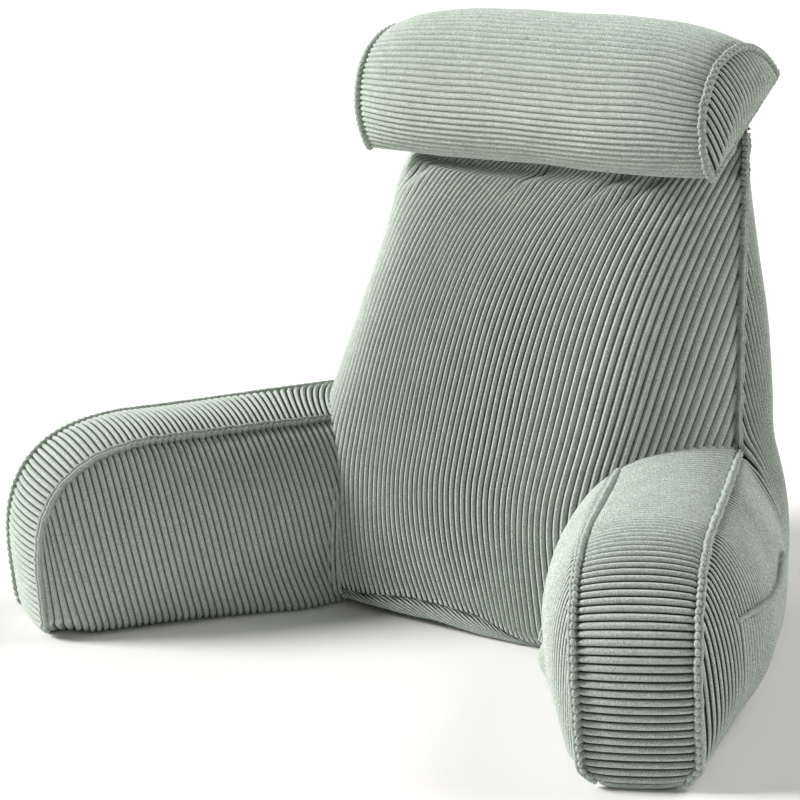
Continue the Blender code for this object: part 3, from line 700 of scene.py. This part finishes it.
def back_crest(y):
    """How far the back panel's top rises in its middle, to just under the roll."""
    return np.minimum(0.024, roll_plane_z(y) - 0.0006 - BACKREST_TOP)


def front_wales(heights, places):
    """Which wale of the front panel passes each place, as metres of flat cloth."""
    at, cloth = flat_cloth(*FRONT_GATHER)
    z = heights[:, None]
    foot = np.clip(1 - z / FOOT_REACH, 0, 1) ** 1.6 * smooth_table(places, *FOOT_PUSH)
    high = np.clip((z - TOP_START) / (BACKREST_TOP - TOP_START), 0, 1.1)
    top = high ** 3.2 * smooth_table(places, *TOP_PUSH)
    bend = ease((places - 0.02) / 0.12) * np.exp(-((z - 0.115) / 0.06) ** 2)
    return np.interp(places, at, cloth) + PITCH * (bend - foot - top)


def base_seam(x):
    """Height of the seam between the front panel and the base."""
    return smooth_table(x, *BASE_SEAM)


def front_panel(cover):
    """The big front panel: its wales run up it and the side seams cut them off."""
    heights = np.concatenate([np.linspace(0.02, 0.33, 46), np.linspace(0.33, BACKREST_TOP, 38)[1:]])
    edge_x = look_up(SIDE_SEAM, "x", heights)[:, None]
    places = np.linspace(FRONT_GATHER[0][0], FRONT_GATHER[0][-1], 300)
    cloth = front_wales(heights, places)
    u = wale_columns(cloth.min(), cloth.max())
    free = np.array([np.interp(u, row, places) for row in cloth])
    free = free + 0.0005 * drift(free, heights[:, None], 9.0)
    x = np.clip(free, -edge_x, edge_x)
    z = heights[:, None] + 0 * x
    z = z + (base_seam(x) - heights[0]) * (1 - ease((z - heights[0]) / 0.08))
    base = np.stack([x, front_face(x, z), z], 2)
    edge = np.minimum((edge_x - np.abs(x)) * 1.4, z - base_seam(x))
    spacing = np.abs(np.gradient(free, axis=1)) / np.maximum(np.gradient(u), 1e-9)
    strength = np.clip(spacing * 1.5, 0.85, 1.30)
    # Painted groove shade, more on the left of the front panel than on the right, for how the light falls
    # across it.
    groove_shade = 1.4 - 0.50 * ease((x - 0.02) / 0.14)
    grid, pile_and_shade = ribbed(base, front_normals(x, z), u, edge, lift=front_folds(x, z),
                        strength=strength, hem=0.0015, groove_shade=groove_shade)
    cover.add(grid, pile_and_shade, live_columns(np.abs(free) < edge_x))


def front_normals(x, z):
    """Which way the front panel faces."""
    step = 0.002
    edge_x = look_up(SIDE_SEAM, "x", z)
    left = np.clip(x - step, -edge_x, edge_x)
    right = np.clip(x + step, -edge_x, edge_x)
    slope_x = (front_face(right, z) - front_face(left, z)) / (right - left)
    slope_z = (front_face(x, z + step) - front_face(x, z - step)) / (2 * step)
    normal = np.stack([slope_x, -np.ones_like(x), slope_z], 2)
    return normal / np.linalg.norm(normal, axis=2, keepdims=True)


def front_folds(x, z):
    """Slow swells of the filled front panel and tucks under the roll, in metres."""
    # The cloth turns back into the crease under the roll, and stands out beside it on the left.
    crease = CREASE_DEPTH * ease((z - CREASE_HEIGHT) / 0.012) * (0.45 + 0.55 * ease((0.09 - x) / 0.10))
    stands_out = 0.006 * np.exp(-((x + 0.185) / 0.035) ** 2 - ((z - 0.385) / 0.035) ** 2)
    lift = 0.0016 * drift(x, z, 2.0) - crease + stands_out
    for middle_x, middle_z, length, depth in TUCKS:
        along = (x - middle_x) * 0.80 + (z - middle_z) * 0.60
        across = -(x - middle_x) * 0.60 + (z - middle_z) * 0.80
        ridge = np.exp(-(along / length) ** 2)
        lift = lift - 1.3 * depth * ridge * np.exp(-(across / 0.0048) ** 2)
        lift = lift + 0.6 * depth * ridge * np.exp(-((across + 0.011) / 0.006) ** 2)
    return lift


def side_line(heights, count):
    """Curves from the back corner to the side seam or the arm's root, at each height."""
    corner = seam_line(BACK_CORNER, heights)
    bulge = look_up(BACK_CORNER, "gusset_bulge", heights)
    low = np.minimum(heights, ARM_HEIGHT_BACK)
    out = panel_bulge(OUTER_PANEL, -OUTER_REACH, low, ARM_HEIGHT_BACK) - edge_inset(low, ARM_EDGE_ROUND)
    root = arm_place(-OUTER_REACH, ARM_MIDDLE + out, low)
    start = np.where((heights > ARM_HEIGHT_BACK)[:, None], seam_line(SIDE_SEAM, heights), root)
    chord = corner - start
    outward = np.stack([chord[:, 1], -chord[:, 0], 0 * chord[:, 0]], 1)
    outward /= np.linalg.norm(outward, axis=1, keepdims=True)
    control = (start + corner) / 2 + 2 * outward * bulge[:, None]
    t = np.linspace(0, 1, count)[:, None]
    line = (1 - t) ** 2 * corner[:, None] + 2 * t * (1 - t) * control[:, None] + t * t * start[:, None]
    inset = edge_inset(heights, BASE_EDGE_ROUND)[:, None, None]
    return line - outward[:, None] * inset * (1 - t)


def gusset(cover):
    """The gusset part of both side panels."""
    grid, pile_and_shade, root = side_panel()
    for side in (1, -1):
        cover.add(grid[:, :root + 1] * np.array([side, 1.0, 1.0]), pile_and_shade[:, :root + 1], flip=side > 0)


def back_panel(cover):
    """The back: its wales run up it, and its top rises to the roll."""
    heights = np.concatenate([np.linspace(0.0, 0.03, 6), np.linspace(0.03, BACKREST_TOP, 42)[1:]])
    rest = look_up(BACK_CORNER, "panel_bulge", heights) - edge_inset(heights, BASE_EDGE_ROUND)
    t = np.linspace(-1, 1, 241)
    x = look_up(BACK_CORNER, "x", heights)[:, None] * t
    y = look_up(BACK_CORNER, "y", heights)[:, None] + rest[:, None] * (1 - np.abs(t) ** BACK_FULLNESS)
    z = heights[:, None] + (above_arms(heights) ** 3)[:, None] * back_crest(y) * (1 - t ** 2)
    lattice = np.stack([x, y, z], 2)
    lengths = arc_lengths(lattice)
    lengths -= lengths[:, len(t) // 2, None]
    reach = lengths[:, -1:]
    u = wale_columns(-reach.max(), reach.max(), SPARSE_LINES)
    wanted = np.clip(u, -reach, reach)
    base, facing = laid_on(lattice, lengths, wanted, (0, 1, 0))
    lift = 0.0015 * drift(base[..., 0], base[..., 2], 5.0)
    grid, pile_and_shade = ribbed(base, facing, u, reach - np.abs(wanted), lift=lift, hem=0.003)
    cover.add(grid, pile_and_shade, live_columns(np.abs(u) < reach), flip=True)


def base_panel(cover):
    """The base: its wales run from side to side, a little askew to the front seam."""
    x = np.linspace(-BASE_HALF, BASE_HALF, 44)
    rest = BACK_CORNER["panel_bulge"][0] - BASE_EDGE_ROUND
    lattice = []
    for place in x:
        drop = base_seam(place) * (1 - np.linspace(0, 1, 50)) ** 1.6
        front = front_face(place, drop)
        # The front edge stands off the floor from near the left arm to right of the middle.
        raised = 0.0085 * ease((place + 0.165) / 0.06) * ease((0.075 - place) / 0.07)
        back_y = BACK_CORNER["y"][0] + rest * (1 - abs(place / BACK_CORNER["x"][0]) ** BACK_FULLNESS)
        floor_y = front[-1] + (back_y - front[-1]) * np.linspace(0, 1, 160)[1:]
        fade = np.clip(1 - (floor_y - front[-1]) / 0.09, 0, 1)
        y = np.concatenate([front, floor_y])
        z = np.concatenate([np.maximum(drop, raised), raised * fade])
        lattice.append(np.stack([place + 0 * y, y, z], 1))
    lattice = np.array(lattice)
    lengths = arc_lengths(lattice)
    slant = 0.42 * (x + BASE_HALF)[:, None]
    reach = lengths[:, -1:]
    u, flat = eased_columns((-slant.max(), reach.max()), (BASE_GATHER, BASE_GATHER), lines=SPARSE_LINES)
    place = flat + slant
    wanted = np.clip(place, 0, reach)
    base, facing = laid_on(lattice, lengths, wanted, (0, -1, -1))
    # Painted groove shade, set for how the light falls on the base.
    grid, pile_and_shade = ribbed(base, facing, u, wanted, relief=0.0024, hem=0.0015, groove_shade=1.8)
    cover.add(grid, pile_and_shade, live_columns((place > 0) & (place < reach)), flip=True)


def top_panel(cover):
    """The slope under the roll, filled out until it bears the roll's flat side."""
    x = wale_columns(-SIDE_SEAM["x"][-1], SIDE_SEAM["x"][-1], COARSE_LINES)
    t = x / x[-1]
    low = SLOPE_FRONT + (BACKREST_TOP - SLOPE_FRONT) * np.abs(t) ** 3 - 0.006
    front = np.stack([x, front_y(x, low) + 0.012, low], 1)
    back_y = BACK_CORNER["y"][-1] + BACK_CORNER["panel_bulge"][-1] * (1 - np.abs(t) ** BACK_FULLNESS)
    back_z = BACKREST_TOP + back_crest(back_y) * (1 - t ** 2) - 0.001
    back = np.stack([BACK_CORNER["x"][-1] * t, back_y, back_z], 1)
    rows = np.linspace(0, 1, 26)[:, None]
    base = front * (1 - rows[..., None]) + back * rows[..., None]
    puff = 0.040 * np.sin(math.pi * rows ** 0.8) ** 0.7 * (1 - np.abs(t) ** 4) ** 0.7
    ribs = (wale_height(x) - 0.5) * RELIEF * np.sin(math.pi * rows)
    base[..., 2] = np.minimum(base[..., 2] + puff, roll_plane_z(base[..., 1]) - 0.0024) + ribs
    cover.add(base, wale_height(x))


# ------------------------------------------------------------ the neck roll

def roll_point(x, flat, up):
    """A point of the roll by its place along it, across its flat side and away from that."""
    x, flat, up = np.broadcast_arrays(x, flat, up)
    return (ROLL_CENTRE + flat[..., None] * ROLL_FLAT + up[..., None] * ROLL_UP
            + x[..., None] * SIDEWAYS)


def roll_outline(fullness):
    """The roll's D as (across the flat, away from it), soft at both corners."""
    turn = np.linspace(0, math.pi, 180)
    out_a = -ROLL_RISE * np.cos(turn)
    out_b = ROLL_HALF_FLAT * np.sin(turn)
    size = np.hypot(out_a, out_b)
    extra = ROLL_BARREL * fullness * np.sin(turn) ** 0.7
    a = -ROLL_HALF_FLAT * np.cos(turn) + out_a / size * extra
    b = ROLL_RISE * np.sin(turn) + out_b / size * extra
    flat = np.linspace(1, -1, 61)[1:-1]
    return np.concatenate([a, flat * ROLL_HALF_FLAT]), np.concatenate([b, 0 * flat])


def roll_cover():
    """The roll's wrap, whose wales run along it, and its two end panels."""
    cover = Cover()
    half = ROLL_LENGTH / 2
    t = np.linspace(-1, 1, 75)
    t = np.sign(t) * (1 - (1 - np.abs(t)) ** 1.3)
    rows = []
    for share in t:
        a, b = roll_outline(1 - abs(share) ** 5)
        rows.append(roll_point(share * half, np.append(a, a[0]), np.append(b, b[0])))
    lattice = np.array(rows)
    lengths = arc_lengths(lattice)
    girth = lengths[len(t) // 2, -1]
    places, gather = ROLL_GATHER
    u, at = eased_columns(np.array(places) * girth, gather, whole=True)
    share = at / girth
    t = t[:, None]
    loose = np.sin(math.pi * share) ** 0.5 * (1 - np.abs(t) ** 6)
    wander = 0.0016 * drift(lattice[:, :1, 0], at, 11.0) * loose
    wander -= 0.007 * ease((t - 0.72) / 0.28) * np.sin(math.pi * share)
    wanted = np.clip(share * lengths[:, -1:] + wander, 0, lengths[:, -1:])
    base = read_rows(lattice, lengths, wanted)
    outward = (base - (ROLL_CENTRE + ROLL_UP * ROLL_RISE * 0.4)) * (1 - SIDEWAYS)
    facing = turned(read_rows(lattice_normals(lattice), lengths, wanted), outward)
    lift = 0.0014 * drift(base[..., 0], wanted, 3.0)
    # Painted groove shade, set for how the light falls on the roll.
    grid, pile_and_shade = ribbed(base, facing, u, (1 - np.abs(t)) * half, lift=lift, groove_shade=0.72)
    cover.add(grid, pile_and_shade)
    for side in (-1, 1):
        roll_end(cover, side)
    return cover


def roll_end(cover, side):
    """A domed end panel; its wales run from the crown down to the flat side."""
    outline = np.stack(roll_outline(0.0), 1)
    centre = np.array([0.0, ROLL_RISE * 0.42])
    grain = math.radians(83)
    along = np.array([math.cos(grain), math.sin(grain)])
    across = np.array([-math.sin(grain), math.cos(grain)])
    p = ((outline - centre) @ across)[:, None]
    q = ((outline - centre) @ along)[:, None]
    wales, lines = eased_columns((p.min() + 1e-4, p.max() - 1e-4), (ROLL_END_GATHER, ROLL_END_GATHER))
    # Where each wale meets the outline, low and high.
    next_p, next_q = np.roll(p, -1, axis=0), np.roll(q, -1, axis=0)
    meets = ((lines - p) * (lines - next_p) <= 0) & (np.abs(next_p - p) >= 1e-9)
    hit = q + (next_q - q) * (lines - p) / np.where(meets, next_p - p, 1.0)
    low = np.where(meets, hit, 1.0).min(axis=0)
    high = np.where(meets, hit, -1.0).max(axis=0)
    rows = (1 - np.cos(np.linspace(0, math.pi, 30))) / 2
    q_at = low + (high - low) * rows[:, None]
    place = centre + lines[:, None] * across + q_at[..., None] * along
    edge = np.linalg.norm(place[:, :, None] - outline[::3], axis=3).min(axis=2)
    dome = ROLL_END_DOME * (1 - (1 - np.clip(edge / 0.05, 0, 1)) ** 2.2)
    base = roll_point(side * (ROLL_LENGTH / 2 + dome), place[..., 0], place[..., 1])
    normal = turned(lattice_normals(base), side * SIDEWAYS)
    # Painted groove shade, set for how the light falls on the roll's end.
    grid, pile_and_shade = ribbed(base, normal, wales, edge, strength=1.1, groove_shade=1.6)
    cover.add(grid, pile_and_shade, flip=side > 0)


# ------------------------------------------------- the exposed seam allowances

def allowance(places, outward, strands, size):
    """Cut cloth edges side by side along a seam; each wale that ends there makes a small knot.

    A strand is: its place across the seam, its radius, the count of wales up to each place,
    how deep the gaps between knots are and how much the knots slant, the last two and size
    as functions of the share of the way along the seam.
    """
    cover = Cover()
    length = arc_lengths(places[None])[0]
    at = np.linspace(0, length[-1], int(length[-1] / PITCH * 11))
    line = read_line(places, length, at)
    ways = read_line(outward, length, at)
    tangent = np.gradient(line, axis=0)
    tangent /= np.linalg.norm(tangent, axis=1, keepdims=True)
    ways -= tangent * (ways * tangent).sum(1, keepdims=True)
    ways /= np.linalg.norm(ways, axis=1, keepdims=True)
    across = np.cross(tangent, ways)
    share = at / length[-1]
    full = size(share)
    turns = np.linspace(-0.35 * math.pi, 1.35 * math.pi, 9)[:, None]
    wobble = 0.0004 * np.sin(at * 310.0) + 0.0003 * np.sin(at * 137.0 + 1.0)
    for middle, radius, wales, gap, slant in strands:
        count = np.interp(at, length, wales) + slant(share) * np.cos(turns)
        beat = np.abs(np.sin(math.pi * count)) ** 0.6
        depth = gap(share)
        thick = radius * full * (1 - 0.72 * depth * (1 - beat))
        offset = middle * full + wobble
        out = offset + thick * np.cos(turns)
        rise = ALLOWANCE_HEIGHT * 0.5 * full + thick * 1.1 * np.sin(turns)
        knots = line + across * out[..., None] + ways * rise[..., None]
        wide = radius * 0.9 * full
        feet = [line + across * (offset + turn * wide)[:, None] - ways * 0.0045 for turn in (1, -1)]
        grid = np.concatenate([feet[:1], knots, feet[1:]])
        # Painted shade: the gaps between knots are darker the deeper they are, and the feet, where the
        # allowance goes into the seam, darkest of all.
        shade = np.pad(1 - depth * (1 - beat), ((1, 1), (0, 0)))
        cover.add(grid, 0.05 + 0.95 * shade)
        for end in (0, -1):
            ring = grid[:, end]
            cover.add(np.stack([ring, ring.mean(0) + 0 * ring]), 0.5, flip=end == 0)
    return cover


def steady(value):
    """The same value all along a seam."""
    return lambda share: value + 0 * share


def even_wales(places, gather):
    """The count of wales up to each place of a seam that cuts straight across them."""
    return arc_lengths(places[None])[0] * gather / PITCH


def arm_allowance(side):
    """Along one edge of the boxing: every wale of the boxing runs up into a knot of its own.

    Towards the root both edges are braided; down the shin the panel's edge is a thin line.
    """
    lengths = np.linspace(0.0, BOXING_LENGTH[-1] - 0.003, 260)
    places, normal = boxing_seam_points(lengths, side)
    lean = math.radians(28)
    ways = normal * math.cos(lean) + ARM_ACROSS * side * math.sin(lean)
    boxing_wales = np.interp(lengths, BOXING_PLACES, BOXING_CLOTH) / PITCH
    panel_wales = np.interp(lengths, BOXING_LENGTH, BOXING_ALONG) * ARM_GATHER / PITCH + 0.4

    def shin(share):
        return ease((share - 0.42) / 0.2)

    def size(share):
        return (0.80 + 0.20 * ease(share * 5)) * (0.35 + 0.65 * ease(share * 40))

    # A strand's place is measured to the right of the seam as it runs from root to toe.
    strands = [(side * 0.0014, 0.0026, boxing_wales,
                lambda share: 0.8 + 0.2 * shin(share), lambda share: 0.35 * (1 - shin(share))),
               (-side * 0.0022, 0.0020, panel_wales,
                lambda share: 0.9 * (1 - shin(share)) + 0.1, lambda share: -0.35 * (1 - shin(share)))]
    return allowance(toe_round(places), ways, strands, size)


def side_allowance(back_lean):
    """The side seam's allowance, pressed flat and a little ruffled."""
    places = seam_line(SIDE_SEAM, np.linspace(ARM_HEIGHT_BACK + 0.006, BACKREST_TOP - 0.008, 80))
    turn = math.radians(-21 + back_lean)
    ways = np.broadcast_to([math.cos(turn), math.sin(turn), 0.0], places.shape)

    def gap(share):
        return 0.45 + 0.55 * ease((share - 0.5) * 3)

    wales = even_wales(places, 1.25)
    strands = [(0.0014, 0.0022, wales, gap, steady(0.25)),
               (-0.0014, 0.0022, wales + 0.45, gap, steady(-0.25))]
    return allowance(places, ways, strands, lambda share: 0.86 + 0.12 * np.sin(share * 60))


def roll_allowance():
    """Around the end of the roll; it lies flatter along the flat side."""
    outline = np.stack(roll_outline(0.0), 1)
    along = np.roll(outline, -1, axis=0) - np.roll(outline, 1, axis=0)
    radial = np.stack([along[:, 1], -along[:, 0]], 1)
    radial = turned(radial, outline - np.array([0, ROLL_RISE * 0.42]))
    radial /= np.linalg.norm(radial, axis=1, keepdims=True)
    for _ in range(8):
        radial = (np.roll(radial, 1, axis=0) + 2 * radial + np.roll(radial, -1, axis=0)) / 4
    # The seam starts and ends where the flat side does.
    flat = outline[:, 1] < 0.002
    turn = int(np.argmax(flat[len(flat) // 2:])) + len(flat) // 2
    order = np.roll(np.arange(len(flat)), -turn)
    order = np.append(order, order[0])
    ways = (radial[:, :1] * ROLL_FLAT + radial[:, 1:] * ROLL_UP) * 0.8 + 0.6 * SIDEWAYS
    places = (roll_point(ROLL_LENGTH / 2, outline[:, 0], outline[:, 1]) - ways * 0.0012)[order]
    shares = np.linspace(0, 1, 200)
    on_flat = ease(np.interp(shares, np.linspace(0, 1, len(order)), flat[order].astype(float)))
    wales = even_wales(places, 1.12)
    strands = [(0.0017, 0.0027, wales, steady(0.9), steady(0.2)),
               (-0.0017, 0.0027, wales + 0.4, steady(0.9), steady(-0.2))]
    return allowance(places, ways[order], strands,
                     lambda share: 1.0 - 0.45 * np.interp(share, shares, on_flat))


def pocket_mouth():
    """The gathered mouth of the side pocket: a row of short rungs."""
    along = np.linspace(POCKET_MOUTH["along"][0] - 0.02, POCKET_FRONT, 90)
    places = panel_point(1, along, look_up(POCKET_MOUTH, "height", along)) + ARM_ACROSS * 0.0012
    strands = [(0.0, 0.0034, even_wales(places, 1.5), steady(1.0), steady(0.15))]
    ways = np.broadcast_to(ARM_ACROSS, places.shape)
    return allowance(places, ways, strands, lambda share: 0.9 - 0.25 * ease(share * 6 - 5))


# --------------------------------------------------------------- materials

def from_hex(code):
    """An sRGB colour as the linear one that shaders take."""
    parts = [int(code[n:n + 2], 16) / 255 for n in (1, 3, 5)]
    return tuple(c / 12.92 if c <= 0.04045 else ((c + 0.055) / 1.055) ** 2.4 for c in parts) + (1.0,)


def add_node(tree, kind, settings=(), inputs=(), links=()):
    """Add a node, set its properties and sockets, and link other sockets into it."""
    node = tree.nodes.new(kind)
    for key, value in dict(settings).items():
        setattr(node, key, value)
    for key, value in dict(inputs).items():
        node.inputs[key].default_value = value
    for key, source in dict(links).items():
        tree.links.new(source, node.inputs[key])
    return node


def corduroy(name, crest, groove):
    """Cotton wide-wale corduroy, woven and brushed: matt, with a soft bloom on the pile."""
    material = bpy.data.materials.new(name)
    material.use_nodes = True
    tree = material.node_tree
    shader = tree.nodes["Principled BSDF"]
    shader.inputs["Roughness"].default_value = 0.93
    shader.inputs["Specular IOR Level"].default_value = 0.15
    shader.inputs["Sheen Weight"].default_value = 0.12
    shader.inputs["Sheen Roughness"].default_value = 0.45
    shader.inputs["Sheen Tint"].default_value = from_hex("#cfd6cb")
    pile_and_shade = add_node(tree, "ShaderNodeAttribute", {"attribute_name": "pile_and_shade"})
    place = add_node(tree, "ShaderNodeTexCoord")
    tufts = add_node(tree, "ShaderNodeTexNoise", {}, {"Scale": 1 / TUFT, "Detail": 1.5, "Roughness": 0.6},
                     {"Vector": place.outputs["Object"]})
    patches = add_node(tree, "ShaderNodeTexNoise", {}, {"Scale": 1 / PATCH, "Detail": 3.0, "Roughness": 0.6},
                       {"Vector": place.outputs["Object"]})
    # The groove colour is partly the cloth's own ground weave, partly painted shade in the grooves.
    depth = add_node(tree, "ShaderNodeMapRange", {"interpolation_type": "SMOOTHSTEP"},
                     {"From Min": 0.0, "From Max": 0.55, "To Min": 0.0, "To Max": 1.0},
                     {"Value": pile_and_shade.outputs["Fac"]})
    cloth = add_node(tree, "ShaderNodeMix", {"data_type": "RGBA"}, {}, {"Factor": depth.outputs["Result"]})
    cloth.inputs["A"].default_value = from_hex(groove)
    cloth.inputs["B"].default_value = from_hex(crest)
    speck = add_node(tree, "ShaderNodeMapRange", {},
                     {"From Min": 0.33, "From Max": 0.67, "To Min": 0.56, "To Max": 1.44},
                     {"Value": tufts.outputs["Fac"]})
    shade = add_node(tree, "ShaderNodeMapRange", {},
                     {"From Min": 0.3, "From Max": 0.7, "To Min": 0.95, "To Max": 1.05},
                     {"Value": patches.outputs["Fac"]})
    both = add_node(tree, "ShaderNodeMath", {"operation": "MULTIPLY"}, {},
                    {0: speck.outputs["Result"], 1: shade.outputs["Result"]})
    mottled = add_node(tree, "ShaderNodeVectorMath", {"operation": "SCALE"}, {},
                       {0: cloth.outputs["Result"], "Scale": both.outputs["Value"]})
    tree.links.new(mottled.outputs["Vector"], shader.inputs["Base Color"])
    bump = add_node(tree, "ShaderNodeBump", {}, {"Strength": 0.55, "Distance": 0.0006},
                    {"Height": tufts.outputs["Fac"]})
    tree.links.new(bump.outputs["Normal"], shader.inputs["Normal"])
    return material


def studio_floor():
    """Seamless white paper, matt."""
    material = bpy.data.materials.new("white_paper_sweep")
    material.use_nodes = True
    shader = material.node_tree.nodes["Principled BSDF"]
    shader.inputs["Base Color"].default_value = from_hex("#f4f2f0")
    shader.inputs["Roughness"].default_value = 0.9
    shader.inputs["Specular IOR Level"].default_value = 0.1
    return material


# ------------------------------------------------------------------ assembly

def main():
    """Every piece, riding on the one body in the place of its node's solid, which is hidden, then the
    studio.
    """
    # Crest and groove colours; the dark groove colour is partly painted shade.
    sage = corduroy("sage_corduroy", "#b8c2b7", "#2f3730")
    # A slightly darker copy of the same cloth for the seam allowances: painted shade, as they lie down in
    # the seams.
    sage_edge_shaded = corduroy("sage_corduroy_cut_edge_shaded", "#aeb8ad", "#2b322c")

    body = Cover()
    for panel in (front_panel, gusset, back_panel, base_panel, top_panel):
        panel(body)
    backrest = body.finish("backrest_cover", sage)
    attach(backrest, "root")
    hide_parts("backrest")

    roll = roll_cover().finish("neck_roll_cover", sage)
    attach(roll, "root")
    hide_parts("neck_roll")

    for side in ("right", "left"):
        mirror = side == "left"
        arm = arm_cover(not mirror).finish(f"arm_{side}_cover", sage, mirror)
        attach(arm, "root")
        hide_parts(f"arm_{side}")
        edges = ((arm_allowance(-1), f"seam_arm_{side}_inner"),
                 (arm_allowance(1), f"seam_arm_{side}_outer"),
                 (side_allowance(48 if mirror else 0), f"seam_side_{side}"),
                 (roll_allowance(), f"seam_roll_{side}"))
        for cover, node in edges:
            edge = cover.finish(node + "_edge", sage_edge_shaded, mirror)
            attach(edge, "root")
            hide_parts(node)

    mouth = pocket_mouth().finish("pocket_mouth", sage_edge_shaded)
    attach(mouth, "root")
    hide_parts("pocket_edge")

    corners = [(x * FLOOR_HALF, y * FLOOR_HALF, 0) for x, y in ((-1, -1), (1, -1), (1, 1), (-1, 1))]
    floor_mesh = bpy.data.meshes.new("floor")
    floor_mesh.from_pydata(corners, [], [(0, 1, 2, 3)])
    floor_mesh.materials.append(studio_floor())
    floor = bpy.data.objects.new("floor", floor_mesh)
    bpy.context.scene.collection.objects.link(floor)

    light_and_camera()


def soft_sun(name, azimuth, height, spread, power):
    """A wide soft light from far away: azimuth 0 is the +Y side, 90 the +X side."""
    data = bpy.data.lights.new(name, "SUN")
    data.angle = math.radians(spread)
    data.energy = power
    lamp = bpy.data.objects.new(name, data)
    turn, rise = math.radians(azimuth), math.radians(height)
    towards = Vector((math.sin(turn) * math.cos(rise), math.cos(turn) * math.cos(rise), math.sin(rise)))
    lamp.rotation_euler = (-towards).to_track_quat("-Z", "Y").to_euler()
    bpy.context.scene.collection.objects.link(lamp)


def light_and_camera():
    """The studio's lamps, its dim white surroundings and the photograph's view."""
    scene = bpy.context.scene
    scene.view_settings.view_transform = "Standard"
    world = bpy.data.worlds.new("studio")
    world.use_nodes = True
    background = world.node_tree.nodes["Background"]
    background.inputs["Color"].default_value = (1.0, 1.0, 1.0, 1.0)
    background.inputs["Strength"].default_value = WORLD_LIGHT
    scene.world = world
    for lamp in LAMPS:
        soft_sun(*lamp)

    data = bpy.data.cameras.new("camera")
    data.sensor_width = 36.0
    data.lens = LENS
    camera = bpy.data.objects.new("camera", data)
    turn = Matrix(CAMERA_WAYS).transposed().to_4x4()
    camera.matrix_world = Matrix.Translation(CAMERA_PLACE) @ turn
    scene.collection.objects.link(camera)
    scene.camera = camera


main()
